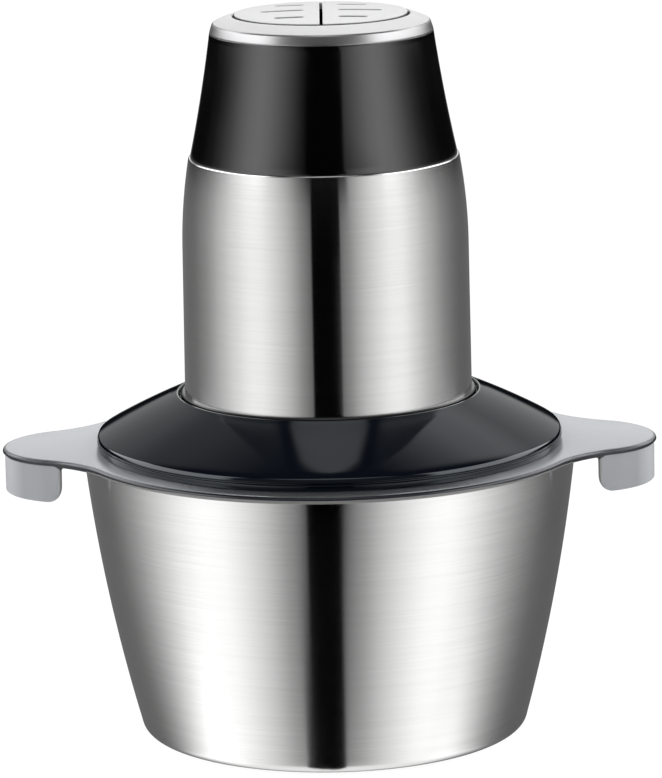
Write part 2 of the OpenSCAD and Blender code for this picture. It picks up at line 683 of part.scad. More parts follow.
// Gears: an external gear's outline, with flanks that follow the involute
function inv(a) = tan(a) * 180 / PI - a;
function half_angle(r, rp, n, grow) = let (rb = rp * cos(pressure))
    90 / n + grow / rp * 180 / PI + inv(pressure) - inv(acos(min(1, rb / r)));
function gear_outline(n, ra, rr, grow) =
    let (rp = gear_m * n / 2, rb = rp * cos(pressure), r0 = max(rb, rr), steps = 4,
        flank = [for (i = [0:steps]) let (r = r0 + (ra - r0) * i / steps) [r, half_angle(r, rp, n, grow)]],
        foot = rr < r0 - 0.01 ? [[rr, flank[0][1]]] : [])
    [for (k = [0:n - 1]) each concat(
        [for (p = concat(foot, flank)) polar(p[0], 360 * k / n - p[1])],
        [for (p = backwards(concat(foot, flank))) polar(p[0], 360 * k / n + p[1])])];
module spur(n, h, bore) {
    rp = gear_m * n / 2;
    difference() {
        linear_extrude(h) polygon(gear_outline(n, rp + gear_m, rp - 1.25 * gear_m, -backlash));
        translate([0, 0, -cut]) cylinder(r = bore, h = h + 2 * cut);
    }
}
module gearbox_cover() {
    color([0.55, 0.56, 0.58]) translate([0, 0, cover_z]) difference() {
        cylinder(r = post_ring_r + post_r, h = cover_t);
        translate([0, 0, -cut]) {
            cylinder(r = output_r + 2.5, h = cover_t + 2 * cut);
            at_posts() cylinder(r = screw_r + 0.2, h = cover_t + 2 * cut);
        }
    }
}
module output_bush() {
    color([0.80, 0.62, 0.30]) translate([0, 0, cover_z])
        ring(output_r + 2.5, output_r + run, cover_t + 0.3);
}
module ring_gear() {
    rp = gear_m * ring_n / 2;
    h = mplate_z - gear_z;
    lug_h = 8;
    color([0.90, 0.89, 0.84]) translate([0, 0, gear_z]) difference() {
        union() {
            cylinder(r = gear_case_r, h = h);
            at_posts() cylinder(r = post_r, h = lug_h);
            around(4, 0, 45) translate([gear_case_r - 3, -post_r * 0.8, 0])
                cube([post_ring_r - gear_case_r + 3, post_r * 1.6, lug_h]);
        }
        translate([0, 0, -cut]) linear_extrude(h + 2 * cut)
            polygon(gear_outline(ring_n, rp + 1.25 * gear_m, rp - 0.9 * gear_m, backlash));
        translate([0, 0, -cut]) cylinder(r = rp + 1.25 * gear_m + 0.6, h = planet_z - gear_z - 0.4 + cut);
        translate([0, 0, -cut]) at_posts() cylinder(r = screw_r, h = cut + 6);
        translate([0, 0, h - 7]) around(4, gear_case_r - 4, 45) cylinder(r = 1.2, h = 8);
    }
}
module planet_gear(k) {
    color([0.93, 0.92, 0.88]) rotate(360 * k / planets) translate([gear_gap, 0, planet_z])
        spur(planet_n, gear_face, planet_pin_r + run);
}
module planet_gear_1() { planet_gear(0); }
module planet_gear_2() { planet_gear(1); }
module planet_gear_3() { planet_gear(2); }
module sun_gear() {
    color([0.62, 0.63, 0.65]) translate([0, 0, planet_z + 0.2]) spur(sun_n, gear_face + 0.6, shaft_r);
}
module planet_carrier() {
    color([0.6, 0.61, 0.63]) {
        translate([0, 0, carrier_z]) difference() {
            cylinder(r = gear_gap + planet_pin_r + 3, h = carrier_t);
            translate([0, 0, -cut]) cylinder(r = output_r, h = carrier_t + 2 * cut);
        }
        around(planets, gear_gap) translate([0, 0, carrier_z + 0.5])
            cylinder(r = planet_pin_r, h = carrier_t - 0.5 + 0.4 + gear_face + 0.5);
    }
}
coupling_r = 14;
spline_clear = 0.35;
module output_coupling() {
    color([0.85, 0.84, 0.80]) difference() {
        union() {
            translate([0, 0, coupling_z]) cylinder(r = coupling_r, h = coupling_h);
            translate([0, 0, coupling_z + coupling_h - 0.5])
                cylinder(r = output_r, h = carrier_z + carrier_t - coupling_z - coupling_h + 0.5);
        }
        translate([0, 0, coupling_z - cut]) linear_extrude(cut + head_z + head_h + 0.5 - coupling_z)
            polygon(spline(spline_r, spline_clear));
    }
}

// Motor: armature on its shaft
module motor_shaft() {
    color([0.7, 0.7, 0.72]) translate([0, 0, planet_z + 0.2])
        turned([[0, 0], [shaft_r - 0.5, 0], [shaft_r, 0.5], [shaft_r, shaft_top - planet_z - 0.7],
            [shaft_r - 0.5, shaft_top - planet_z - 0.2], [0, shaft_top - planet_z - 0.2]]);
}
core_slots = 12;
slot_r = 2.9;
slot_depth = 6.2;
slot_mouth = 1.6;
module core_slot_shapes(h, shrink) {
    around(core_slots, core_r - slot_depth) cylinder(r = slot_r - shrink, h = h);
}
module armature_core() {
    color([0.35, 0.36, 0.38]) translate([0, 0, stack_z]) difference() {
        cylinder(r = core_r, h = stack_h);
        translate([0, 0, -cut]) {
            cylinder(r = shaft_r, h = stack_h + 2 * cut);
            core_slot_shapes(stack_h + 2 * cut, 0);
            around(core_slots, core_r - slot_depth + slot_r - 0.7) translate([0, -slot_mouth / 2, 0])
                cube([slot_depth, slot_mouth, stack_h + 2 * cut]);
        }
    }
}
module armature_winding() {
    color([0.75, 0.40, 0.18]) {
        translate([0, 0, stack_z - 0.5]) core_slot_shapes(stack_h + 1, 0.15);
        for (end = [[stack_z, 0], [stack_top, 1]]) translate([0, 0, end[0]]) mirror([0, 0, 1 - end[1]])
            turned([[shaft_r + 2.5, 0.1], [core_r - 2, 0.1], [core_r - 2, 2.4], [core_r - 5, coil_t - 1.4],
                [shaft_r + 5, coil_t - 0.6], [shaft_r + 2.5, coil_t - 2.5]]);
    }
}
comm_r = 11;
module commutator() {
    color([0.80, 0.50, 0.28]) translate([0, 0, comm_z - 1]) difference() {
        union() {
            ring(comm_r, shaft_r, comm_h + 1);
            ring(comm_r + 1.5, shaft_r, 1.6);
        }
        around(core_slots, comm_r - 0.8, 15) translate([0, -0.3, -cut]) cube([4, 0.6, comm_h + 3]);
    }
}
fan_r = 29;
module cooling_fan() {
    color([0.9, 0.9, 0.88]) translate([0, 0, fan_z]) difference() {
        union() {
            cylinder(r = fan_r, h = 1.2);
            cylinder(r = shaft_r + 3.5, h = fan_h);
            around(9) translate([shaft_r + 3, 0, 0.6]) rotate(18) translate([0, -0.6, 0])
                cube([fan_r - shaft_r - 6, 1.2, fan_h - 0.6]);
        }
        translate([0, 0, -cut]) cylinder(r = shaft_r, h = fan_h + 2 * cut);
    }
}

// Motor: what stands still
yoke_w = 9;
stator_x = bolt_x + yoke_w / 2;
stator_y = core_r + 15;
yoke_t = 6;
pole_w = 24;
pole_gap = [20, 8];
bore_r = core_r + air_gap;
bolt_r = 2;
post_foot_r = 4.5;
bearing_r = shaft_r + 4;
bearing_h = 6;
module at_bolts() { for (s = [-1, 1]) translate([s * bolt_x, 0, 0]) children(); }
module motor_plate() {
    boss_h = 3.4;
    color([0.16, 0.16, 0.17]) translate([0, 0, mplate_z]) difference() {
        union() {
            cylinder(r = post_ring_r + post_r, h = mplate_t);
            cylinder(r = bearing_r + 2.4, h = mplate_t + boss_h);
            at_bolts() cylinder(r = post_foot_r, h = stack_z - mplate_z);
        }
        translate([0, 0, -cut]) {
            cylinder(r = bearing_r, h = cut + bearing_h);
            around(4, gear_case_r - 4, 45) cylinder(r = 1.4, h = mplate_t + 2 * cut);
            at_bolts() cylinder(r = bolt_r, h = stack_z - mplate_z + 2 * cut);
        }
    }
}
module plate_screws() {
    color([0.7, 0.7, 0.72]) translate([0, 0, mplate_z + mplate_t]) mirror([0, 0, 1])
        around(4, gear_case_r - 4, 45) screw(1.2, mplate_t + 6.5, 2.4, 1.6);
}
module lower_bearing() {
    color([0.80, 0.62, 0.30]) translate([0, 0, mplate_z]) ring(bearing_r, shaft_r + run, bearing_h);
}
module stator_core() {
    color([0.45, 0.46, 0.48]) translate([0, 0, stack_z]) difference() {
        union() {
            linear_extrude(stack_h) difference() {
                intersection() {
                    square([2 * stator_x, 2 * stator_y], center = true);
                    circle(r = stator_x + 5);
                }
                square([2 * bolt_x - yoke_w, 2 * stator_y - 2 * yoke_t], center = true);
            }
            translate([-bolt_x, -pole_w / 2, 0]) cube([2 * bolt_x, pole_w, stack_h]);
            cylinder(r = bore_r + pole_shoe_t, h = stack_h);
        }
        translate([0, 0, -cut]) {
            cylinder(r = bore_r, h = stack_h + 2 * cut);
            for (s = [0, 180]) rotate(s) translate([-pole_gap[0] / 2, bore_r - 3, 0])
                cube([pole_gap[0], pole_gap[1], stack_h + 2 * cut]);
            at_bolts() cylinder(r = bolt_r, h = stack_h + 2 * cut);
        }
    }
}
pole_shoe_t = 4;
coil_x = bore_r + pole_shoe_t + 0.4;
coil_w = bolt_x - 4.8 - coil_x;
coil_side = 5;
coil_play = 0.6;
module field_coils() {
    color([0.78, 0.42, 0.20]) for (s = [0, 180]) rotate(s)
        translate([coil_x, 0, stack_z + stack_h / 2]) rotate([0, 90, 0])
            linear_extrude(coil_w) difference() {
            square([stack_h + coil_play + 2 * coil_t, pole_w + coil_play + 2 * coil_side], center = true);
            square([stack_h + coil_play, pole_w + coil_play], center = true);
        }
}
module stator_bolts() {
    color([0.7, 0.7, 0.72]) translate([0, 0, stack_top + bridge_t]) mirror([0, 0, 1])
        at_bolts() screw(bolt_r, stack_top + bridge_t - mplate_z - 2, 1.8 * bolt_r, 1.3 * bolt_r);
}
bridge_w = 16;
bridge_t = 3;
bridge_leg = 3;
bridge_foot = 11.4;
bridge_x = bolt_x - yoke_w / 2 + bridge_foot;
holder_y = comm_r + 2;
holder_l = 15;
holder_h = 7;
arm_w = 12;
arm_t = 4;
brush_z = comm_z + 3;
arm_y = holder_y + holder_l - 2 - arm_t;
module brush_bridge() {
    color([0.16, 0.16, 0.17]) difference() {
        union() {
            for (s = [0, 180]) rotate(s) translate([bridge_x - bridge_foot, -bridge_w / 2, stack_top]) {
                cube([bridge_foot, bridge_w, bridge_t]);
                translate([bridge_foot - bridge_leg, 0, 0])
                    cube([bridge_leg, bridge_w, bridge_z + bridge_t - stack_top]);
            }
            translate([-bridge_x, -bridge_w / 2, bridge_z]) cube([2 * bridge_x, bridge_w, bridge_t]);
            translate([0, 0, bridge_z - 1]) cylinder(r = bearing_r + 2.2, h = bridge_t + 4);
            translate([-arm_w / 2, -arm_y - arm_t, bridge_z]) cube([arm_w, 2 * (arm_y + arm_t), bridge_t]);
            for (s = [0, 180]) rotate(s) translate([-arm_w / 2, arm_y, brush_z + holder_h])
                cube([arm_w, arm_t, bridge_z - brush_z - holder_h + 0.5]);
        }
        at_bolts() translate([0, 0, stack_top - cut]) cylinder(r = bolt_r, h = bridge_t + 2 * cut);
        translate([0, 0, bridge_z - cut - 1]) cylinder(r = bearing_r, h = bridge_t + 8);
    }
}
module upper_bearing() {
    color([0.80, 0.62, 0.30]) translate([0, 0, bridge_z]) ring(bearing_r, shaft_r + run, bearing_h);
}
brush_w = 5;
brush_l = 10;
module brush_holders() {
    color([0.82, 0.66, 0.30]) for (s = [0, 180]) rotate(s) translate([0, holder_y, brush_z]) difference() {
        translate([-brush_w / 2 - 1.2, 0, 0]) cube([brush_w + 2.4, holder_l, holder_h]);
        translate([-brush_w / 2, -cut, 1]) cube([brush_w, holder_l - 1 + cut, brush_w]);
    }
}
module carbon_brushes() {
    color([0.12, 0.12, 0.12]) for (s = [0, 180]) rotate(s)
        translate([-brush_w / 2, comm_r + 0.1, brush_z + 1]) cube([brush_w, brush_l, brush_w]);
}

bowl();
bowl_spindle();
handle_ring();
lid();
lid_seal();
blade_hub();
hub_bush();
blade_nut();
blade_spacer();
lower_blades();
upper_blades();
motor_base();
base_screws();
steel_sleeve();
upper_housing();
top_ring();
cable_inlet();
gearbox_cover();
output_bush();
ring_gear();
motor_plate();
plate_screws();
lower_bearing();
stator_core();
field_coils();
stator_bolts();
brush_bridge();
upper_bearing();
brush_holders();
carbon_brushes();
switch_plate();
switch_plate_screws();
speed_switches();
control_board();
suppressor();
low_button();
high_button();
low_button_spring();
high_button_spring();
motor_shaft();
armature_core();
armature_winding();
commutator();
cooling_fan();
sun_gear();
planet_carrier();
output_coupling();
planet_gear_1();
planet_gear_2();
planet_gear_3();
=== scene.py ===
"""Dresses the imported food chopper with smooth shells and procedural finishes.

Sizes are in millimetres and become metres when a mesh is made. Z is up, the bowl stands on
z = 0 and the two ears lie along X, as in the CAD frame.
"""

from __future__ import annotations

import json
import logging
import math
from dataclasses import dataclass, field
from enum import Enum
from typing import Any, Callable, Sequence

import bmesh
import bpy
from mathutils import Matrix, Vector
from mathutils.geometry import delaunay_2d_cdt

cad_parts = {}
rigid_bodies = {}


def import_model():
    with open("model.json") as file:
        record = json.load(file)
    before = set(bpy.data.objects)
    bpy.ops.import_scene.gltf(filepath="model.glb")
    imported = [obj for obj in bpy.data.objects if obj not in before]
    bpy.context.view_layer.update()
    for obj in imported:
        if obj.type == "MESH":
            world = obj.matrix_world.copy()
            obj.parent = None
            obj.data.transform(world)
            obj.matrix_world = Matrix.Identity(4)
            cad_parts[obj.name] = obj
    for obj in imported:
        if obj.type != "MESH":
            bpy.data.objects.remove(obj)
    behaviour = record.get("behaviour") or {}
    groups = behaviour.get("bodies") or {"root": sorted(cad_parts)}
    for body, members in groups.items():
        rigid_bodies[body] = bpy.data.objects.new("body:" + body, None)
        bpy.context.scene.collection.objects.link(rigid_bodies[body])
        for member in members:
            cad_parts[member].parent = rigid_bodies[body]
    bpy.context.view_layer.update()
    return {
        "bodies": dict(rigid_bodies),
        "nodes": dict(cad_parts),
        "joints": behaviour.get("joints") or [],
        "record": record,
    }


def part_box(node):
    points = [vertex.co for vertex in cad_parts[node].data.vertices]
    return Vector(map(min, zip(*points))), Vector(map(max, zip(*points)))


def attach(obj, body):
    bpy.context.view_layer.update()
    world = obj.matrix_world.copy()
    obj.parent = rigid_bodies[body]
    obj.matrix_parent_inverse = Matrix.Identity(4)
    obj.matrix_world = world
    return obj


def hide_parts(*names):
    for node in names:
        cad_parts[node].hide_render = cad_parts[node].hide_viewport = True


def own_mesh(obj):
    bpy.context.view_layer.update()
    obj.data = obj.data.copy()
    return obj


LOG = logging.getLogger("chopper")
MM = 0.001
Point = tuple[float, float]
Point3 = tuple[float, float, float]
Colour = tuple[float, float, float]


def tone(red: int, green: int, blue: int) -> Colour:
    """Turns a screen colour of 0 to 255 into the linear colour that shaders use.

    Args:
        red: Red channel.
        green: Green channel.
        blue: Blue channel.

    Returns:
        The linear colour.
    """
    parts = [c / 255.0 for c in (red, green, blue)]
    return tuple(c / 12.92 if c <= 0.04045 else ((c + 0.055) / 1.055) ** 2.4 for c in parts)


class Value:
    """An output socket that can be used in plain expressions."""

    def __init__(self, graph: Graph, socket: bpy.types.NodeSocket) -> None:
        """Wraps a socket of a graph."""
        self.graph = graph
        self.socket = socket

    def _math(self, operation: str, first: Any, second: Any) -> Value:
        """Adds one Math node for an operation on two numbers."""
        return self.graph.out("ShaderNodeMath", "Value", {"operation": operation}, {0: first, 1: second})

    def __add__(self, other: Any) -> Value:
        """Adds."""
        return self._math("ADD", self, other)

    def __radd__(self, other: Any) -> Value:
        """Adds with the value on the right."""
        return self._math("ADD", other, self)

    def __sub__(self, other: Any) -> Value:
        """Subtracts."""
        return self._math("SUBTRACT", self, other)

    def __rsub__(self, other: Any) -> Value:
        """Subtracts the value from another one."""
        return self._math("SUBTRACT", other, self)

    def __mul__(self, other: Any) -> Value:
        """Multiplies."""
        return self._math("MULTIPLY", self, other)

    def __rmul__(self, other: Any) -> Value:
        """Multiplies with the value on the right."""
        return self._math("MULTIPLY", other, self)

    def __truediv__(self, other: Any) -> Value:
        """Divides."""
        return self._math("DIVIDE", self, other)

    def __pow__(self, other: Any) -> Value:
        """Raises to a power."""
        return self._math("POWER", self, other)

    def apply(self, operation: str, other: Any = 0.0) -> Value:
        """Adds a Math node that has no operator sign, such as SINE or LESS_THAN."""
        return self._math(operation, self, other)


class Graph:
    """A node tree that is written with expressions, for shaders and geometry alike."""

    def __init__(self, tree: bpy.types.NodeTree) -> None:
        """Starts a graph on an existing tree."""
        self.tree = tree

    def node(self, kind: str, settings: dict[str, Any] | None = None,
             inputs: dict[Any, Any] | None = None) -> bpy.types.Node:
        """Adds a node, sets it up and fills its sockets.

        Args:
            kind: The node's type name.
            settings: Properties, set before the sockets. "stops" fills a colour ramp.
            inputs: Values or wrapped sockets, by the socket's name or number.

        Returns:
            The node.
        """
        node = self.tree.nodes.new(kind)
        for name, value in (settings or {}).items():
            if name != "stops":
                setattr(node, name, value)
                continue
            stops = node.color_ramp.elements
            stops.remove(stops[-1])
            for k, (place, level) in enumerate(value):
                stop = stops.new(place) if k else stops[0]
                stop.position = place
                stop.color = (level, level, level, 1.0) if isinstance(level, float) else (*level, 1.0)
        for key, value in (inputs or {}).items():
            if isinstance(value, Value):
                self.tree.links.new(value.socket, node.inputs[key])
            else:
                node.inputs[key].default_value = value
        return node

    def out(self, kind: str, output: str, settings: dict[str, Any] | None = None,
            inputs: dict[Any, Any] | None = None) -> Value:
        """Adds a node and wraps one of its outputs."""
        return Value(self, self.node(kind, settings, inputs).outputs[output])

    def split(self, vector: Value) -> tuple[Value, Value, Value]:
        """Gives the three coordinates of a vector."""
        node = self.node("ShaderNodeSeparateXYZ", None, {0: vector})
        return tuple(Value(self, node.outputs[k]) for k in range(3))

    def join(self, x: Any, y: Any, z: Any) -> Value:
        """Makes a vector of three numbers."""
        return self.out("ShaderNodeCombineXYZ", "Vector", None, {0: x, 1: y, 2: z})


class ShaderGraph(Graph):
    """A graph of a material or the world, with the few patterns that the finishes share."""

    def place(self) -> Value:
        """Gives the point on the piece in metres."""
        return self.out("ShaderNodeTexCoord", "Object")

    def turned_place(self, lengthwise: float, across: float) -> Value:
        """Gives coordinates that run long round the Z axis and short across it.

        Args:
            lengthwise: Scale along the brush lines, per metre.
            across: Scale across the brush lines, per metre.

        Returns:
            The coordinates for a noise.
        """
        x, y, z = self.split(self.place())
        radius = (x * x + y * y).apply("SQRT")
        return self.join(x * lengthwise, y * lengthwise, (z + radius) * across)

    def noise(self, vector: Value, scale: float, detail: float = 2.0) -> Value:
        """Gives a noise between 0 and 1 at a vector."""
        return self.out("ShaderNodeTexNoise", "Fac", None,
                        {"Vector": vector, "Scale": scale, "Detail": detail, "Roughness": 0.55})

    def ramp(self, value: Value, stops: Sequence[tuple[float, Any]]) -> Value:
        """Maps a number through the stops of a colour ramp."""
        return self.out("ShaderNodeValToRGB", "Color", {"stops": stops}, {0: value})

    def slope(self, value: Value, start: float, end: float) -> Value:
        """Gives 0 below the start, 1 above the end and a straight way between them."""
        return self.out("ShaderNodeMapRange", "Result", None,
                        {"Value": value, "From Min": start, "From Max": end})

    def blend(self, factor: Any, first: Any, second: Any) -> Value:
        """Mixes two colours.

        Args:
            factor: Share of the second colour.
            first: Colour where the factor is 0.
            second: Colour where it is 1.

        Returns:
            The mixed colour.
        """
        node = self.node("ShaderNodeMix", {"data_type": "RGBA"}, {0: factor})
        for slot, colour in ((6, first), (7, second)):
            if isinstance(colour, Value):
                self.tree.links.new(colour.socket, node.inputs[slot])
            else:
                node.inputs[slot].default_value = (*colour, 1.0)
        return Value(self, node.outputs[2])

    def bump(self, height: Value, depth_mm: float) -> Value:
        """Turns a height between 0 and 1 into a normal, with a relief as deep as given."""
        return self.out("ShaderNodeBump", "Normal", None,
                        {"Strength": 1.0, "Distance": depth_mm * MM, "Height": height})


@dataclass(frozen=True)
class Finish:
    """A plain finish, and what every other finish starts from.

    Attributes:
        name: Name of the material.
        colour: Linear base colour.
        roughness: Mean roughness.
        metallic: 1 for bare metal.
        mottle: How much the colour varies over the piece.
        grain: Scale of the fine relief, per metre.
        relief: Depth of the fine relief in millimetres.
        fixed: Shader sockets that are the same all over.
    """

    name: str
    colour: Colour
    roughness: float
    metallic: float = 0.0
    mottle: float = 0.06
    grain: float = 900.0
    relief: float = 0.01
    fixed: tuple[tuple[str, Any], ...] = ()

    def material(self) -> bpy.types.Material:
        """Builds the material once and gives it back.

        Returns:
            The material.
        """
        label = f"{self.name}_look"
        known = bpy.data.materials.get(label)
        if known:
            return known
        material = bpy.data.materials.new(label)
        material.use_nodes = True
        material.node_tree.nodes.clear()
        graph = ShaderGraph(material.node_tree)
        colour, roughness, normal = self.pattern(graph)
        sockets = {"Base Color": colour, "Roughness": roughness, "Metallic": self.metal(graph),
                   "Normal": normal, **dict(self.fixed)}
        shader = graph.out("ShaderNodeBsdfPrincipled", "BSDF", None, sockets)
        graph.node("ShaderNodeOutputMaterial", None, {"Surface": shader})
        material.diffuse_color = (*self.colour, 1.0)
        material.metallic = self.metallic
        material.roughness = self.roughness
        return material

    def metal(self, graph: ShaderGraph) -> Any:
        """Gives how metallic the surface is: a number, or a value that varies over it."""
        return self.metallic

    def shades(self, graph: ShaderGraph, weight: Value, spread: float) -> Value:
        """Gives the base colour, from darker to lighter.

        Args:
            graph: The material's graph.
            weight: 0 for the darkest tone and 1 for the lightest.
            spread: How far the tones go from the base colour, as a share of it.

        Returns:
            The colour.
        """
        low = tuple(c * (1 - spread) for c in self.colour)
        high = tuple(min(1.0, c * (1 + spread)) for c in self.colour)
        return graph.blend(weight, low, high)

    def pattern(self, graph: ShaderGraph) -> tuple[Value, Value, Value]:
        """Builds what varies over the surface.

        Args:
            graph: The material's graph.

        Returns:
            Base colour, roughness and normal.
        """
        place = graph.place()
        cloud = graph.noise(place, 60.0, 3.0)
        fine = graph.noise(place, self.grain)
        colour = self.shades(graph, cloud * 0.6 + fine * 0.4, self.mottle)
        roughness = self.roughness + 0.10 * (cloud - 0.5)
        return colour, roughness, graph.bump(fine, self.relief)


@dataclass(frozen=True)
class Brushed(Finish):
    """Steel brushed round the axis: hairlines in colour, gloss and relief.

    Attributes:
        line: Hairlines per metre across the brushing.
        haze: How much a broad smudge dulls the gloss.
    """

    line: float = 2100.0
    haze: float = 0.02

    def pattern(self, graph: ShaderGraph) -> tuple[Value, Value, Value]:
        """Builds hairlines that run round the piece, with soft smudges between them.

        Args:
            graph: The material's graph.

        Returns:
            Base colour, roughness and normal.
        """
        hair = graph.noise(graph.turned_place(26.0, self.line), 1.0, 3.0)
        band = graph.noise(graph.turned_place(7.0, 420.0), 1.0)
        smudge = graph.noise(graph.place(), 22.0)
        weight = hair * 0.62 + band * 0.38
        colour = self.shades(graph, weight, self.mottle)
        roughness = self.roughness + 0.06 * (hair - 0.5) + self.haze * (smudge - 0.5)
        return colour, roughness, graph.bump(weight, self.relief)


@dataclass(frozen=True)
class BandedSilver(Brushed):
    """Satin silver above a height, and polished metal below it.

    Attributes:
        edge: Height of the change in millimetres.
        polished: Roughness of the band below.
        band: Colour of the band below.
    """

    edge: float = 0.0
    polished: float = 0.33
    band: Colour = (0.38, 0.38, 0.385)

    def pattern(self, graph: ShaderGraph) -> tuple[Value, Value, Value]:
        """Builds the brushing, with its tone and gloss changed below the edge.

        Args:
            graph: The material's graph.

        Returns:
            Base colour, roughness and normal.
        """
        colour, roughness, normal = super().pattern(graph)
        over = self.satin(graph)
        gloss = self.polished + over * (roughness - self.polished)
        return graph.blend(over, self.band, colour), gloss, normal

    def metal(self, graph: ShaderGraph) -> Any:
        """Gives bare metal below the edge."""
        return 1.0 + self.satin(graph) * (self.metallic - 1.0)

    def satin(self, graph: ShaderGraph) -> Value:
        """Gives 1 above the edge and 0 below it."""
        height = graph.split(graph.place())[2] / MM - self.edge
        return graph.ramp(height + 0.5, ((0.0, 0.0), (0.4, 0.0), (0.6, 1.0)))


@dataclass(frozen=True)
class GroovedSilver(Brushed):
    """Satin silver on a dome, with painted shade down in the grooves.

    Attributes:
        top: Height of the dome's top in millimetres.
        ball: Radius of the dome in millimetres.
        shade: Colour at the bottom of a groove, painted shade.
    """

    top: float = 0.0
    ball: float = 100.0
    shade: Colour = (0.035, 0.035, 0.037)

    def pattern(self, graph: ShaderGraph) -> tuple[Value, Value, Value]:
        """Builds the brushing, with painted shade by the depth under the dome.

        Args:
            graph: The material's graph.

        Returns:
            Base colour, roughness and normal.
        """
        colour, roughness, normal = super().pattern(graph)
        x, y, z = graph.split(graph.place())
        up = z - (self.top - self.ball) * MM
        depth = self.ball - (x * x + y * y + up * up).apply("SQRT") / MM
        # Painted shade: the grooves, the gap and the cap's rounded edge darken with depth under the dome.
        sunk = graph.ramp(depth, ((0.0, 0.0), (0.12, 0.0), (0.45, 1.0)))
        return graph.blend(sunk, colour, self.shade), roughness, normal


@dataclass(frozen=True)
class PressedSteel(Finish):
    """Satin pressing with painted shade as a dark band on its turned-down edge, and a skirt painted greyer as
    shade.

    Attributes:
        top: Height of the flat of the plate in millimetres.
        edge: Depth of the dark band of painted shade below it in millimetres.
        shade: Colour of the dark band, which is painted shade.
        skirt: Colour of the skirt under the plate, painted greyer as shade.
        tab: Colour of the tabs under the ears, a painted shaded tone of the sheet.
        tab_end: Their lighter colour at the far end, which is painted light.
        tab_x: Where the tabs start, in millimetres from the middle.
        narrow: Depth of the painted shade band round the mouth, as a share of its depth on the ears.
        swell: How much deeper the painted shade band is just before the tabs start, as a share.
    """

    top: float = 0.0
    edge: float = 2.1
    shade: Colour = (0.02, 0.02, 0.025)
    skirt: Colour = (0.1, 0.1, 0.1)
    tab: Colour = (0.3, 0.3, 0.3)
    tab_end: Colour = (0.4, 0.4, 0.4)
    tab_x: float = 100.0
    narrow: float = 0.56
    swell: float = 0.7

    def pattern(self, graph: ShaderGraph) -> tuple[Value, Value, Value]:
        """Builds the satin grain, the painted shade band at the edge and the painted shaded and lit tones
        below it.

        Args:
            graph: The material's graph.

        Returns:
            Base colour, roughness and normal.
        """
        place = graph.place()
        x, y, z = graph.split(place)
        cloud = graph.noise(place, 26.0)
        fine = graph.noise(place, self.grain)
        depth = self.top - z / MM
        reach = (x / MM).apply("ABSOLUTE") - self.tab_x
        # Painted shade: a dark band down the turned edge, narrower round the mouth and deeper just before the
        # tabs.
        neck = graph.ramp(reach / 20.0 + 0.8,
                          ((0.0, 0.0), (0.25, 0.0), (0.52, 1.0), (0.72, 1.0), (0.88, 0.0)))
        edge = self.edge * (self.narrow + (1.0 - self.narrow) * graph.slope(reach, -45.0, -8.0))
        band = graph.ramp(depth / (edge * (1.0 + self.swell * neck)),
                          ((0.0, 0.0), (0.01, 0.0), (0.04, 0.40), (0.12, 0.55), (0.22, 1.0), (0.86, 1.0),
                           (0.99, 0.0)))
        below = graph.ramp(depth / edge - 0.6, ((0.0, 0.0), (0.2, 0.0), (0.4, 1.0)))
        on_tab = graph.ramp(reach / 6.0 + 0.5, ((0.0, 0.0), (0.45, 0.0), (0.6, 1.0)))
        # Painted shade: the plate darkens towards -Y by up to a fifth.
        front_shade = graph.slope(y / MM * -1.0, -12.0, 30.0)
        satin = self.shades(graph, cloud * 0.7 + fine * 0.3, self.mottle)
        plate = graph.blend(front_shade * 0.2, satin, (0.0, 0.0, 0.0))
        # The skirt and the tabs take painted shaded tones, and the tabs lighten towards their far ends as
        # painted light.
        tab = graph.blend(graph.slope(reach, 14.0, 22.0), self.tab, self.tab_end)
        shaded_tones = graph.blend(on_tab, self.skirt, tab)
        colour = graph.blend(band, graph.blend(below, plate, shaded_tones), self.shade)
        roughness = self.roughness + 0.08 * (cloud - 0.5) + 0.05 * (fine - 0.5)
        return colour, roughness, graph.bump(fine, self.relief)

    def metal(self, graph: ShaderGraph) -> Any:
        """Gives less bare metal below the plate and towards the ears, where the sheet is dull.

        Args:
            graph: The material's graph.

        Returns:
            How metallic the surface is.
        """
        x, _, z = graph.split(graph.place())
        below = graph.slope(self.top - z / MM, 0.25, 0.75)
        aside = graph.slope((x / MM).apply("ABSOLUTE"), 42.0, 62.0)
        return self.metallic * (1.0 - 0.85 * below) * (1.0 - 0.7 * aside)


@dataclass(frozen=True)
class Layered(Finish):
    """A stack of sheets or a winding: even lines one above the other.

    Attributes:
        pitch: Height of one layer in millimetres.
        groove: How dark the line between two layers is.
    """

    pitch: float = 0.6
    groove: float = 0.45

    def pattern(self, graph: ShaderGraph) -> tuple[Value, Value, Value]:
        """Builds rounded layers with a dark line between them.

        Args:
            graph: The material's graph.

        Returns:
            Base colour, roughness and normal.
        """
        place = graph.place()
        wave = (graph.split(place)[2] * (math.pi / (self.pitch * MM))).apply("SINE").apply("ABSOLUTE")
        cloud = graph.noise(place, 140.0)
        body = self.shades(graph, cloud, self.mottle)
        dark = tuple(c * self.groove for c in self.colour)
        colour = graph.blend(wave ** 0.35, dark, body)
        return colour, self.roughness + 0.12 * (cloud - 0.5), graph.bump(wave, self.relief)


BRUSHED_ROUND = (("Anisotropic", 1.0), ("Anisotropic Rotation", 0.25))
PLATE_TOP = 110.8


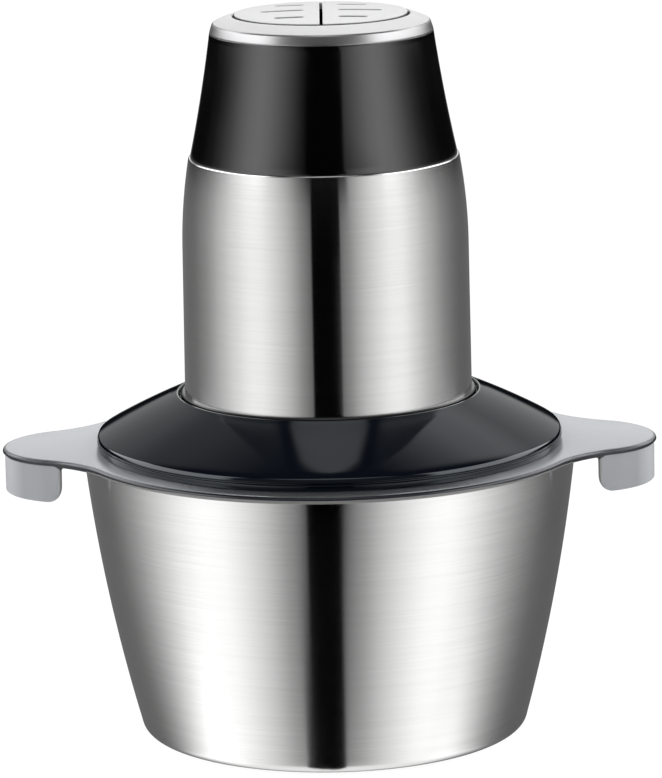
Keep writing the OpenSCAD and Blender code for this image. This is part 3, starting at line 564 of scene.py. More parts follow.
class Slot(Enum):
    """The finishes of the chopper, by the record's material slot.

    Each row gives the name, colour, roughness, metallic, mottle, grain and relief, in the order
    of Finish's fields, as far as they aren't named.
    """

    BOWL = Brushed("bowl_steel", (0.77, 0.77, 0.765), 0.155, 1.0, 0.10, relief=0.003, fixed=BRUSHED_ROUND)
    SLEEVE = Brushed("sleeve_steel", (0.65, 0.65, 0.645), 0.125, 1.0, 0.09, relief=0.003, fixed=BRUSHED_ROUND)
    # RIM: painted shade in the edge band, skirt and tabs, and painted light at the tabs' far ends.
    RIM = PressedSteel("rim_steel", tone(192, 195, 200), 0.24, 0.85, 0.02, 700.0, 0.0008, top=PLATE_TOP,
                       edge=2.5, shade=tone(40, 41, 48), skirt=tone(142, 142, 141),
                       tab=tone(166, 168, 173), tab_end=tone(214, 215, 220), tab_x=101.5)
    BLADE = Brushed("blade_steel", (0.72, 0.72, 0.72), 0.22, 1.0, 0.07, relief=0.003, line=1400.0)
    SPINDLE = Brushed("spindle_steel", (0.66, 0.66, 0.67), 0.24, 1.0, 0.06, relief=0.003)
    LID = Finish("lid_plastic", tone(3, 8, 18), 0.08, 0.0, 0.05, 500.0, 0.0010,
                 fixed=(("Specular Tint", (0.87, 0.94, 1.0, 1.0)),))
    SEAL = Finish("seal_silicone", tone(222, 224, 226), 0.42, 0.0, 0.03, 700.0, 0.006,
                  fixed=(("Subsurface Weight", 0.12),))
    HUB = Finish("hub_plastic", tone(224, 223, 217), 0.32, 0.0, 0.03, 1100.0, 0.004)
    BASE = Finish("base_plastic", tone(20, 20, 22), 0.30, 0.0, 0.10, 1300.0, 0.008)
    HOUSING = Finish("housing_plastic", (0.0012, 0.0012, 0.0013), 0.10, 0.0, 0.2, 300.0, 0.0012,
                     fixed=(("Specular IOR Level", 0.8), ("IOR", 1.62)))
    TOP = BandedSilver("top_silver", (0.93, 0.93, 0.932), 0.36, 0.12, 0.02, relief=0.002, line=1700.0,
                       edge=270.8)
    # BUTTON: painted shade in the grooves.
    BUTTON = GroovedSilver("button_silver", (0.84, 0.84, 0.845), 0.36, 0.2, 0.03, relief=0.002, line=1700.0,
                           top=274.9, ball=522.145)
    GROMMET = Finish("grommet_rubber", tone(26, 26, 27), 0.55, 0.0, 0.12, 1800.0, 0.015)
    GEARBOX = Finish("gearbox_metal", tone(150, 152, 156), 0.46, 0.9, 0.08, 1300.0, 0.03)
    BRONZE = Finish("bronze", tone(196, 150, 84), 0.38, 1.0, 0.10, 2400.0, 0.012)
    GEAR_NYLON = Finish("gear_nylon", tone(232, 229, 216), 0.36, 0.0, 0.03, 900.0, 0.004)
    GEAR_STEEL = Finish("gear_steel", tone(158, 160, 165), 0.30, 1.0, 0.07, 1800.0, 0.008)
    FRAME = Finish("frame_plastic", tone(44, 45, 48), 0.44, 0.0, 0.10, 1500.0, 0.02)
    SCREW = Finish("screw_steel", tone(178, 180, 185), 0.28, 1.0, 0.08, 2600.0, 0.006)
    LAMINATION = Layered("lamination", tone(112, 115, 122), 0.42, 0.9, 0.10, relief=0.06, pitch=0.65)
    COPPER = Layered("copper", tone(186, 96, 48), 0.30, 0.85, 0.12, relief=0.12, pitch=0.8)
    BRASS = Finish("brush_brass", tone(206, 170, 90), 0.30, 1.0, 0.08, 1500.0, 0.006)
    CARBON = Finish("carbon", tone(38, 38, 40), 0.62, 0.1, 0.18, 3200.0, 0.03)
    SWITCH = Finish("switch_plastic", tone(30, 30, 34), 0.36, 0.0, 0.08, 1400.0, 0.008)
    BOARD = Finish("board", tone(26, 92, 52), 0.34, 0.0, 0.16, 420.0, 0.012, fixed=(("Coat Weight", 0.4),))
    CAPACITOR = Finish("capacitor", tone(206, 160, 40), 0.34, 0.0, 0.05, 900.0, 0.006)
    SPRING = Finish("spring_steel", tone(168, 170, 176), 0.26, 1.0, 0.06, 2600.0, 0.004)
    FAN = Finish("fan_plastic", tone(228, 228, 224), 0.40, 0.0, 0.03, 1200.0, 0.008)

    @property
    def material(self) -> bpy.types.Material:
        """The material of this slot."""
        return self.value.material()


def arc(centre: Point, radius: float, start: float, end: float, steps: int) -> list[Point]:
    """Gives points along an arc.

    Args:
        centre: Centre of the arc.
        radius: Its radius.
        start: First angle in degrees.
        end: Last angle in degrees.
        steps: Number of steps.

    Returns:
        The points, both ends among them.
    """
    angles = (math.radians(start + (end - start) * k / steps) for k in range(steps + 1))
    return [(centre[0] + radius * math.cos(a), centre[1] + radius * math.sin(a)) for a in angles]


def bow(first: Point, last: Point, rise: float, steps: int) -> list[Point]:
    """Gives points on the way between two points that bows out to its right.

    Args:
        first: Where the way starts.
        last: Where it ends.
        rise: How far its middle stands off the straight line.
        steps: Number of steps.

    Returns:
        The points, both ends among them.
    """
    run = Vector(last) - Vector(first)
    side = Vector((run.y, -run.x)).normalized()
    path = []
    for k in range(steps + 1):
        t = k / steps
        path.append(tuple(Vector(first) + run * t + side * 4 * rise * t * (1 - t)))
    return path


def rounded(corners: Sequence[tuple[float, ...]], steps: int = 5) -> list[Point]:
    """Rounds the corners of a closed outline.

    Args:
        corners: Points as (radius, height) or (radius, height, rounding).
        steps: Steps in each rounding.

    Returns:
        The outline with its roundings.
    """
    outline: list[Point] = []
    for k, corner in enumerate(corners):
        here = Vector(corner[:2])
        if len(corner) < 3 or corner[2] <= 0:
            outline.append(tuple(here))
            continue
        back = Vector(corners[k - 1][:2]) - here
        ahead = Vector(corners[(k + 1) % len(corners)][:2]) - here
        half = back.angle(ahead) / 2
        cutback = min(corner[2] / math.tan(half), 0.48 * back.length, 0.48 * ahead.length)
        radius = cutback * math.tan(half)
        middle = here + (back.normalized() + ahead.normalized()).normalized() * (radius / math.sin(half))
        first = here + back.normalized() * cutback - middle
        last = here + ahead.normalized() * cutback - middle
        for s in range(steps + 1):
            spoke = first.slerp(last, s / steps) if first.angle(last) > 1e-4 else first
            outline.append(tuple(middle + spoke.normalized() * radius))
    return outline


class Maker:
    """Makes meshes out of points in millimetres and gives the pieces their finish and body."""

    @staticmethod
    def mesh(name: str, points: Sequence[Sequence[float]], faces: Sequence[Sequence[int]],
             sharp: float = 32.0) -> bpy.types.Object:
        """Makes a closed, smooth-shaded object with its normals outwards.

        Args:
            name: Name of the piece.
            points: Corner points in millimetres.
            faces: Faces by point number.
            sharp: Edges over this angle in degrees stay sharp.

        Returns:
            The object, linked to the scene.
        """
        mesh = bpy.data.meshes.new(name)
        mesh.from_pydata([tuple(c * MM for c in p) for p in points], [], faces)
        Maker.smooth(mesh, sharp)
        piece = bpy.data.objects.new(name, mesh)
        bpy.context.scene.collection.objects.link(piece)
        return piece

    @staticmethod
    def smooth(mesh: bpy.types.Mesh, sharp: float) -> None:
        """Merges doubles, turns the faces outwards and shades them smooth.

        Args:
            mesh: The mesh.
            sharp: Edges over this angle in degrees stay sharp.
        """
        form = bmesh.new()
        form.from_mesh(mesh)
        bmesh.ops.remove_doubles(form, verts=form.verts, dist=1e-7)
        bmesh.ops.dissolve_degenerate(form, dist=1e-8, edges=form.edges)
        bmesh.ops.recalc_face_normals(form, faces=form.faces)
        form.to_mesh(mesh)
        form.free()
        mesh.shade_smooth()
        mesh.set_sharp_from_angle(angle=math.radians(sharp))

    @staticmethod
    def turned(name: str, outline: Sequence[Point], steps: int = 256) -> bpy.types.Object:
        """Turns a closed outline of (radius, height) about Z.

        Args:
            name: Name of the piece.
            outline: The outline in millimetres.
            steps: Steps round the axis.

        Returns:
            The object.
        """
        points = []
        for radius, height in outline:
            for k in range(steps):
                angle = 2 * math.pi * k / steps
                points.append((radius * math.cos(angle), radius * math.sin(angle), height))
        count = len(outline)
        faces = []
        for ring in range(count):
            after = (ring + 1) % count
            if outline[ring][0] < 1e-6 and outline[after][0] < 1e-6:
                continue
            for k in range(steps):
                nxt = (k + 1) % steps
                faces.append([ring * steps + k, ring * steps + nxt, after * steps + nxt, after * steps + k])
        return Maker.mesh(name, points, faces)

    @staticmethod
    def skin(name: str, loops: Sequence[Sequence[Point3]], closed: bool) -> bpy.types.Object:
        """Skins loops of points that all have the same length.

        Args:
            name: Name of the piece.
            loops: The loops in millimetres.
            closed: Whether the last loop joins the first; otherwise both ends get a cap.

        Returns:
            The object.
        """
        size = len(loops[0])
        points = [p for loop in loops for p in loop]
        faces: list[list[int]] = []
        for ring in range(len(loops) if closed else len(loops) - 1):
            after = (ring + 1) % len(loops)
            for k in range(size):
                nxt = (k + 1) % size
                faces.append([ring * size + k, ring * size + nxt, after * size + nxt, after * size + k])
        if not closed:
            faces.append(list(range(size)))
            faces.append([(len(loops) - 1) * size + k for k in reversed(range(size))])
        return Maker.mesh(name, points, faces)

    @staticmethod
    def finish(piece: bpy.types.Object, slot: Slot, body: str, *nodes: str) -> None:
        """Gives a piece its material, its body and the nodes that it stands for.

        Args:
            piece: The object.
            slot: Its finish.
            body: The CAD body that it rides on.
            nodes: CAD nodes that it replaces.
        """
        piece.data.materials.clear()
        piece.data.materials.append(slot.material)
        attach(piece, body)
        if nodes:
            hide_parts(*nodes)
        LOG.info("%s on %s, %d faces", piece.name, body, len(piece.data.polygons))


class ShapeGraph(Graph):
    """A geometry node tree with named inputs, run once into a plain mesh."""

    def __init__(self, name: str, inputs: Sequence[tuple[str, str, Any]]) -> None:
        """Starts a tree.

        Args:
            name: Name of the tree.
            inputs: (name, socket kind, value) of each input.
        """
        tree = bpy.data.node_groups.new(name, "GeometryNodeTree")
        super().__init__(tree)
        tree.interface.new_socket(name="Geometry", in_out="OUTPUT", socket_type="NodeSocketGeometry")
        self.values: dict[str, Any] = {}
        for label, kind, value in inputs:
            socket = tree.interface.new_socket(name=label, in_out="INPUT", socket_type="NodeSocket" + kind)
            self.values[socket.identifier] = value
        self.entry = tree.nodes.new("NodeGroupInput")

    def given(self, label: str) -> Value:
        """Gives the wrapped input of a name."""
        return Value(self, self.entry.outputs[label])

    def run(self, name: str, geometry: Value) -> bpy.types.Object:
        """Ends the tree, runs it and keeps the result as a mesh.

        Args:
            name: Name of the piece.
            geometry: What the tree gives out.

        Returns:
            The object, with no modifier on it.
        """
        whole = self.out("GeometryNodeRealizeInstances", "Geometry", None, {"Geometry": geometry})
        dressed = self.out("GeometryNodeSetMaterial", "Geometry", None,
                           {"Geometry": whole, "Material": self.given("Finish")})
        self.node("NodeGroupOutput", None, {"Geometry": dressed})
        base = bpy.data.objects.new(name, bpy.data.meshes.new(name))
        bpy.context.scene.collection.objects.link(base)
        modifier = base.modifiers.new("shape", "NODES")
        modifier.node_group = self.tree
        for identifier, value in self.values.items():
            modifier[identifier] = value
        view = bpy.context.evaluated_depsgraph_get()
        made = bpy.data.meshes.new_from_object(base.evaluated_get(view), depsgraph=view)
        base.modifiers.remove(modifier)
        base.data = made
        made.name = name
        return base


@dataclass
class Bowl:
    """The steel bowl, with the rounded corner, the flange at its mouth and the stepped underside.

    Attributes:
        rim_r: Radius of the wall at its top.
        foot_r: Radius of the wall at its bottom.
        height: Height of the flange's top.
        belly: How far the wall bows out.
        wall: Thickness of the sheet.
        corner: Radius of the corner at the foot.
        corner_x: Where the flat of the foot ends and the corner begins.
        neck: How far under the flange the wall ends.
        panel_r: Radius of the raised panel in the underside.
        step: Width of the step round it.
        bend: Rounding of that step.
        flange_r: Radius of the flange.
    """

    rim_r: float = 93.0
    foot_r: float = 73.7
    height: float = 109.6
    belly: float = 2.0
    wall: float = 0.8
    corner: float = 5.0
    corner_x: float = 68.95
    neck: float = 3.6
    panel_r: float = 52.0
    step: float = 2.0
    bend: float = 1.5
    flange_r: float = 94.7

    def side(self, inset: float) -> list[Point]:
        """Gives the outline of the corner and the wall.

        Args:
            inset: How far it lies inside the bowl's outside.

        Returns:
            The points from the foot upwards.
        """
        corner = arc((self.corner_x, self.corner), self.corner - inset, -90, -16, 10)
        low = (self.foot_r - inset, 0.7 * self.corner)
        wall = bow(low, (self.rim_r - inset, self.height - self.neck), self.belly, 40)
        return corner + wall[1:]

    def floor(self, inset: float) -> list[Point]:
        """Gives the outline of the stepped floor.

        Args:
            inset: How far it lies inside the bowl's outside.

        Returns:
            The points from the middle to the corner.
        """
        panel = self.wall + inset
        return rounded([(0, panel), (self.panel_r, panel, self.bend),
                        (self.panel_r + self.step, inset, self.bend), (self.corner_x, inset)])

    def build(self) -> None:
        """Builds the shell of the bowl as one outline turned round the axis."""
        outside = self.floor(0)
        inside = self.floor(self.wall)
        rim = [(self.rim_r + 0.3, self.height - self.wall), (self.flange_r, self.height - self.wall),
               (self.flange_r, self.height), (self.rim_r + 0.3 - self.wall, self.height)]
        outline = outside + self.side(0)[1:] + rim + self.side(self.wall)[::-1] + inside[::-1][1:]
        Maker.finish(Maker.turned("bowl_shell", outline, 288), Slot.BOWL, "bowl", "bowl")


@dataclass
class HandleRing:
    """The pressed ring round the bowl's mouth, with its two eared handles.

    Attributes:
        ring_r: Radius of the plate's outside.
        bore_r: Radius of the mouth.
        sheet: Thickness of the sheet.
        skirt: Depth of the skirt.
        neck: Depth of the neck that hangs in the bowl's mouth.
        ear_r: Radius of an ear.
        ear_x: Where an ear's centre is, from the middle.
        fillet: Radius of the hollow between the ring and an ear.
        tab_x: Where the tabs start, from the middle.
        tab_depth: Depth of the tabs.
        tab_corner: Rounding of a tab's corner.
        edge: Rounding of the plate's outer edge.
        mouth_edge: Rounding of its edge at the mouth.
        setback: How far the skirt stands inside the outer edge.
        top: Height of the plate.
        stations: Points of a quarter of the outline, each with its outward direction and its
            depth of skirt.
    """

    ring_r: float = 96.8
    bore_r: float = 85.5
    sheet: float = 1.2
    skirt: float = 2.7
    neck: float = 11.0
    ear_r: float = 28.2
    ear_x: float = 95.8
    fillet: float = 45.0
    tab_x: float = 101.5
    tab_depth: float = 16.3
    tab_corner: float = 6.0
    edge: float = 1.4
    mouth_edge: float = 0.8
    setback: float = 0.8
    top: float = PLATE_TOP
    stations: list[tuple[Point, Point, float]] = field(default_factory=list)

    def measure(self) -> None:
        """Works out the stations: the ear, the hollow up to the tab, the rest of it, and the ring."""
        main = self.ring_r + self.fillet
        side = self.ear_r + self.fillet
        hollow_x = (main**2 + self.ear_x**2 - side**2) / (2 * self.ear_x)
        hollow_y = math.sqrt(main**2 - hollow_x**2)
        ear_end = math.degrees(math.atan2(hollow_y, hollow_x - self.ear_x))
        ring_start = math.degrees(math.atan2(hollow_y, hollow_x))
        hollow_start, hollow_end = ear_end - 180, ring_start - 180
        tab = -math.degrees(math.acos((self.tab_x - hollow_x) / self.fillet))
        run = self.fillet * math.radians(hollow_start - tab)

        def add(centre: Point, radius: float, angle: float, outwards: float, past: float) -> None:
            """Adds one station on an arc.

            Args:
                centre: Centre of the arc.
                radius: Its radius.
                angle: Where the station is on it, in degrees.
                outwards: 1 where the arc's centre is inside the plate, and -1 where it is outside.
                past: Distance beyond the tab's edge, below 0 before it.
            """
            way = (math.cos(math.radians(angle)), math.sin(math.radians(angle)))
            spot = (centre[0] + radius * way[0], centre[1] + radius * way[1])
            lift = max(0.0, self.tab_corner**2 - max(0.0, self.tab_corner - past) ** 2)
            deep = self.tab_depth - self.tab_corner + math.sqrt(lift)
            normal = (outwards * way[0], outwards * way[1])
            self.stations.append((spot, normal, deep if past >= 0 else self.skirt))

        for k in range(27):
            angle = ear_end * k / 26
            add((self.ear_x, 0), self.ear_r, angle, 1, run + self.ear_r * math.radians(ear_end - angle))
        for k in range(1, 17):
            share = 1 - (1 - k / 16) ** 1.6
            angle = hollow_start + (tab - hollow_start) * share
            add((hollow_x, hollow_y), self.fillet, angle, -1, run * (1 - share))
        for k in range(14):
            add((hollow_x, hollow_y), self.fillet, tab - 0.15 + (hollow_end - tab + 0.15) * k / 14, -1, -1)
        for k in range(37):
            add((0, 0), self.ring_r, ring_start + (90 - ring_start) * k / 36, 1, -1)

    def all_round(self, quarter: list[Point3]) -> list[Point3]:
        """Mirrors a quarter of a loop into the whole loop.

        Args:
            quarter: Points from the X axis to the Y axis, both ends on an axis.

        Returns:
            The whole loop.
        """
        inner = quarter[1:-1]
        flipped = [[(x * a, y * b, z) for x, y, z in inner] for a, b in ((-1, 1), (-1, -1), (1, -1))]
        first, last = quarter[0], quarter[-1]
        return [first, *inner, last, *flipped[0][::-1], (-first[0], first[1], first[2]), *flipped[1],
                (last[0], -last[1], last[2]), *flipped[2][::-1]]

    def loop(self, inset: float, drop: float) -> list[Point3]:
        """Gives the outline moved inwards by an inset, at a depth below the plate."""
        return self.all_round([(p[0] - inset * n[0], p[1] - inset * n[1], self.top - drop)
                               for p, n, _ in self.stations])

    def hem(self, inset: float, rise: float) -> list[Point3]:
        """Gives the lower edge of the skirt and tabs, a little higher by rise."""
        return self.all_round([(p[0] - inset * n[0], p[1] - inset * n[1], self.top - deep + rise)
                               for p, n, deep in self.stations])

    def mouth(self, radius: float, drop: float) -> list[Point3]:
        """Gives a round loop at the mouth whose points face the outline's.

        Args:
            radius: Radius of the loop.
            drop: Depth below the plate.

        Returns:
            The loop.
        """
        spots = []
        for p, _, _ in self.stations:
            reach = math.hypot(*p)
            spots.append((radius * p[0] / reach, radius * p[1] / reach, self.top - drop))
        return self.all_round(spots)

    def build(self) -> None:
        """Builds the pressing as one skin."""
        self.measure()
        back = self.setback + self.sheet
        soft = self.mouth_edge
        loops = [self.mouth(self.bore_r + soft * (1 - math.sin(a)), soft * (1 - math.cos(a)))
                 for a in (math.radians(90 - 18 * k) for k in range(6))]
        loops += [self.loop(self.edge * (1 - math.sin(a)), self.edge * (1 - math.cos(a)))
                  for a in (math.radians(10 * k) for k in range(10))]
        loops += [self.loop(self.setback * k / 3, self.edge + 0.12 + 0.12 * k) for k in range(4)]
        loops.append(self.loop(self.setback, self.edge + 0.6))
        loops += [self.hem(self.setback + inset, rise) for inset, rise in ((0, 0.5), (0.12, 0.2), (0.4, 0))]
        loops += [self.hem(back - inset, rise) for inset, rise in ((0.4, 0), (0.12, 0.2), (0, 0.5))]
        loops += [self.loop(back + inset, self.sheet + drop)
                  for inset, drop in ((0, 0.8), (0.3, 0.3), (1.2, 0))]
        outer = self.bore_r + self.sheet
        loops += [self.mouth(outer + 0.8, self.sheet), self.mouth(outer, self.sheet + 0.8),
                  self.mouth(outer, self.neck - 0.4), self.mouth(outer - 0.4, self.neck),
                  self.mouth(self.bore_r + 0.4, self.neck), self.mouth(self.bore_r, self.neck - 0.4)]
        Maker.finish(Maker.skin("rim_pressing", loops, True), Slot.RIM, "bowl", "handle_ring")


@dataclass
class Lid:
    """The smoky lid: rim, slope, collar and the recess for the motor unit.

    Attributes:
        outer_r: Radius of the rim.
        plug_r: Radius of the plug that goes into the bowl's mouth.
        collar_r: Radius of the collar's outside.
        recess_r: Radius of the recess.
        tube_r: Inner radius of the tube in the middle.
        wall: Thickness of the walls.
        plate: Height of the plate that the rim rests on.
        slope: Height of the slope's lower end.
        collar: Height of the collar's top.
        seat: Height of the recess's floor.
        plug_h: Height of the plug.
        tube_h: How far the tube hangs under the recess's floor.
        seal_low: Lower end of the groove for the seal.
        seal_high: Its upper end.
        seal_depth: Depth of that groove.
        key_r: Radius of the circle that the keys stand on.
        key: Size of a key.
        key_rise: Height of a key's middle over the seat.
    """

    outer_r: float = 88.0
    plug_r: float = 84.7
    collar_r: float = 57.9
    recess_r: float = 56.6
    tube_r: float = 10.6
    wall: float = 2.4
    plate: float = PLATE_TOP
    slope: float = 115.4
    collar: float = 130.5
    seat: float = 124.2
    plug_h: float = 10.0
    tube_h: float = 8.0
    seal_low: float = 103.4
    seal_high: float = 107.4
    seal_depth: float = 1.2
    key_r: float = 47.0
    key: Point3 = (4.0, 9.0, 2.5)
    key_rise: float = 0.95

    def build(self) -> None:
        """Builds the lid's shell and its three keys."""
        tilt = (self.slope - 0.2 - self.collar) / (self.outer_r - 0.6 - self.collar_r)
        groove_r = self.plug_r - self.seal_depth
        inner_r = groove_r - self.wall
        low = self.plate - self.plug_h
        tube_low = self.seat - self.wall - self.tube_h
        under = self.collar - self.wall * 1.15
        tube = self.tube_r + self.wall
        crown = bow((self.collar_r, self.collar - 0.3), (self.outer_r - 0.4, self.slope + 0.1), -0.5, 24)
        outline = rounded([
            (self.recess_r, self.seat), (self.recess_r, self.collar - 0.5, 0.4),
            (self.recess_r + 0.4, self.collar, 0.3), (self.collar_r - 0.4, self.collar, 0.3), *crown[1:-2],
            (self.outer_r - 0.5, self.slope + 0.1, 1.6), (self.outer_r, self.slope - 1.2, 1.2),
            (self.outer_r, self.plate + 3.2, 0.2), (self.outer_r - 0.5, self.plate + 2.9, 0.2),
            (self.outer_r - 0.5, self.plate + 2.5, 0.2), (self.outer_r, self.plate + 2.2, 0.2),
            (self.outer_r, self.plate, 0.4), (self.plug_r, self.plate, 0.2), (self.plug_r, self.seal_high),
            (groove_r, self.seal_high), (groove_r, self.seal_low), (self.plug_r, self.seal_low),
            (self.plug_r, low + 0.6, 0.4), (self.plug_r - 0.6, low, 0.3), (inner_r, low, 0.6),
            (inner_r, under + (inner_r - self.collar_r) * tilt, 1.2),
            (self.collar_r + 1.5, under + 1.5 * tilt, 0.8), (self.collar_r + 1.5, self.seat - self.wall, 1.2),
            (tube, self.seat - self.wall, 1.0), (tube, tube_low, 0.4), (self.tube_r, tube_low, 0.4),
            (self.tube_r, self.seat, 0.5)])
        Maker.finish(Maker.turned("lid_shell", outline), Slot.LID, "lid", "lid")
        self.keys()

    def keys(self) -> None:
        """Builds the three keys on the seat that stop the motor unit from turning."""
        graph = ShapeGraph("key_round", [("Count", "Int", 3), ("Radius", "Float", self.key_r * MM),
                                         ("Size", "Vector", tuple(side * MM for side in self.key)),
                                         ("Height", "Float", (self.seat + self.key_rise) * MM),
                                         ("Finish", "Material", Slot.LID.material)])
        block = graph.out("GeometryNodeMeshCube", "Mesh", None, {"Size": graph.given("Size")})
        ring = round_points(graph, 0.0)
        Maker.finish(graph.run("lid_keys", on_points(graph, ring, block)), Slot.LID, "lid")


def round_points(graph: ShapeGraph, start: float) -> Value:
    """Adds points round the Z axis, from the inputs Count, Radius and Height.

    Args:
        graph: The tree.
        start: Angle of the first point in degrees.

    Returns:
        The points as a mesh.
    """
    ring = graph.out("GeometryNodeMeshCircle", "Mesh", None,
                     {"Vertices": graph.given("Count"), "Radius": graph.given("Radius")})
    lift = graph.out("ShaderNodeCombineXYZ", "Vector", None, {2: graph.given("Height")})
    return graph.out("GeometryNodeTransform", "Geometry", None,
                     {"Geometry": ring, "Translation": lift, "Rotation": (0, 0, math.radians(start))})


def on_points(graph: ShapeGraph, points: Value, tool: Value) -> Value:
    """Sets a shape on each point, turned to face away from the Z axis.

    Args:
        graph: The tree.
        points: The points.
        tool: The shape.

    Returns:
        The instances.
    """
    place = graph.out("GeometryNodeInputPosition", "Position")
    facing = graph.out("FunctionNodeAlignRotationToVector", "Rotation", {"axis": "X", "pivot_axis": "Z"},
                       {"Vector": place})
    return graph.out("GeometryNodeInstanceOnPoints", "Instances", None,
                     {"Points": points, "Instance": tool, "Rotation": facing})


@dataclass
class MotorShell:
    """The motor unit's outside: steel sleeve, black housing, silver top ring and cable inlet.

    Attributes:
        sleeve_z: Height of the sleeve's lower end.
        sleeve_r: Radius of that end.
        sleeve_top_r: Radius of the upper end.
        sleeve_h: Height of the sleeve.
        shoulder_h: Height of its curved shoulder.
        taper: How much narrower the straight part gets.
        sheet: Thickness of its sheet.
        lip: Rounding of its upper edge.
        rings: Rings of points along its outline.
        housing_z: Height of the housing's lower end.
        housing_r: Radius of that end.
        housing_wall: Thickness of its wall.
        hollow: How far its outline bows out, below 0 as it bows in.
        band_z: Height of the top ring's lower edge.
        band_r: Radius of the housing's upper end and of the top ring.
        bore_r: Radius of the top ring's bore.
        counter_r: Radius of the wider bore under it.
        inlet_z: Height of the cable inlet's axis.
    """

    sleeve_z: float = 131.0
    sleeve_r: float = 54.3
    sleeve_top_r: float = 50.8
    sleeve_h: float = 89.4
    shoulder_h: float = 35.4
    taper: float = 0.4
    sheet: float = 0.7
    lip: float = 0.5
    rings: int = 148
    housing_z: float = 220.4
    housing_r: float = 50.1
    housing_wall: float = 2.6
    hollow: float = -0.45
    band_z: float = 267.0
    band_r: float = 41.9
    bore_r: float = 33.1
    counter_r: float = 34.8
    inlet_z: float = 234.4

    def build(self) -> None:
        """Builds the shells from the bottom up."""
        self.sleeve()
        self.housing()
        self.top_ring()
        self.inlet()

    def sleeve(self) -> None:
        """Builds the steel sleeve by its rule: straight, then a parabola over the shoulder."""
        sizes = {"Radius": self.sleeve_r, "Drop": self.sleeve_r - self.taper - self.sleeve_top_r,
                 "Height": self.sleeve_h, "Shoulder": self.shoulder_h, "Sheet": self.sheet,
                 "Taper": self.taper, "Lip": self.lip, "Start": self.sleeve_z}
        inputs = [(label, "Float", size * MM) for label, size in sizes.items()]
        graph = ShapeGraph("sleeve_rule", [*inputs, ("Finish", "Material", Slot.SLEEVE.material)])
        tube = graph.out("GeometryNodeMeshCylinder", "Mesh", {"fill_type": "NONE"},
                         {"Vertices": 288, "Side Segments": self.rings, "Radius": 1.0, "Depth": 2.0})
        x, y, z = graph.split(graph.out("GeometryNodeInputPosition", "Position"))
        height, shoulder, lip = (graph.given(label) for label in ("Height", "Shoulder", "Lip"))
        turn = (z + 1.0) * 0.5
        edge = 6 / self.rings
        rise = (0.5 - (turn - 0.5).apply("ABSOLUTE")) * 2.0
        share = ((rise - edge) / (1.0 - 2 * edge)).apply("MAXIMUM", 0.0).apply("MINIMUM", 1.0)
        inside = ((turn - (0.5 - edge / 2)) / edge).apply("MAXIMUM", 0.0).apply("MINIMUM", 1.0)
        outside = ((1.0 - turn) / (edge / 2)).apply("MINIMUM", 1.0)
        level = (1.0 - (1.0 - share) ** 2.0) * height
        curl = ((level - height) / lip + 1.0).apply("MAXIMUM", 0.0)
        rolled = (1.0 - (1.0 - curl * curl).apply("MAXIMUM", 0.0).apply("SQRT")) * lip
        over = ((level - (height - shoulder)) / shoulder).apply("MAXIMUM", 0.0)
        straight = (level / (height - shoulder)).apply("MINIMUM", 1.0)
        wall = inside * outside * graph.given("Sheet")
        radius = graph.given("Radius") - graph.given("Taper") * straight - graph.given("Drop") * over * over
        radius = radius - wall - rolled * (1.0 - inside)
        place = graph.join(x * radius, y * radius, level + graph.given("Start"))
        shaped = graph.out("GeometryNodeSetPosition", "Geometry", None, {"Geometry": tube, "Position": place})
        closed = graph.out("GeometryNodeMergeByDistance", "Geometry", None,
                           {"Geometry": shaped, "Distance": 1e-6})
        piece = graph.run("sleeve_shell", closed)
        Maker.smooth(piece.data, 40)
        Maker.finish(piece, Slot.SLEEVE, "motor_unit", "steel_sleeve")

    def housing(self) -> None:
        """Builds the gloss black housing with its hollow curve."""
        low = self.housing_z
        lip_out = self.sleeve_top_r - self.sheet - 0.3
        lip_in = self.housing_r - self.housing_wall
        outside = bow((self.housing_r, low + 0.6), (self.band_r, self.band_z), self.hollow, 24)
        inside = bow((lip_in, low + 1), (self.band_r - self.housing_wall, self.band_z), self.hollow, 24)
        outline = rounded([(lip_out + 0.2, low - 8), (lip_out, low - 0.3),
                           (self.housing_r + 0.1, low - 0.3, 0.1), *outside[:-1], (*outside[-1], 0.2),
                           (*inside[-1], 0.2), *inside[::-1][1:-1], (lip_in, low), (lip_in, low - 8)])
        Maker.finish(Maker.turned("housing_shell", outline), Slot.HOUSING, "motor_unit", "upper_housing")

    def top_ring(self) -> None:
        """Builds the satin ring round the buttons."""
        low = self.band_z
        bevel = low + 3.8
        top = low + 6.5
        under = low + 0.9
        foot = low - 4
        inner = self.band_r - self.housing_wall - 0.3
        outline = rounded([
            (self.band_r, low, 0.1), (self.band_r - 0.1, low + 0.5, 0.2),
            (self.band_r - 1.0, bevel - 0.5, 0.3), (self.band_r - 1.5, bevel, 0.3),
            (self.bore_r + 0.5, top, 0.4), (self.bore_r, top - 0.5, 0.3), (self.bore_r, under, 0.2),
            (self.counter_r, under, 0.2), (self.counter_r, foot, 0.2), (inner, foot, 0.2), (inner, low)])
        Maker.finish(Maker.turned("top_ring_shell", outline), Slot.TOP, "motor_unit", "top_ring")

    def inlet(self) -> None:
        """Builds the cable inlet, with grip rings round its sleeve."""
        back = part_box("cable_inlet")[1].y
        outline = [(3.5, 0.4), (3.9, 0.0), (7.7, 0.0), (8.1, 0.4), (8.1, 1.6), (7.7, 2.0), (6.5, 2.0)]
        outline += [(6.5 - 0.35 * (k % 2), 2.6 + k * 0.6) for k in range(14)]
        outline += [(6.5, 11.4), (6.1, 12.0), (3.9, 12.0), (3.5, 11.6)]
        piece = Maker.turned("inlet_boot", outline, 96)
        place = Matrix.Translation((0, back, self.inlet_z * MM))
        piece.data.transform(place @ Matrix.Rotation(math.pi / 2, 4, "X"))
        Maker.finish(piece, Slot.GROMMET, "motor_unit", "cable_inlet")


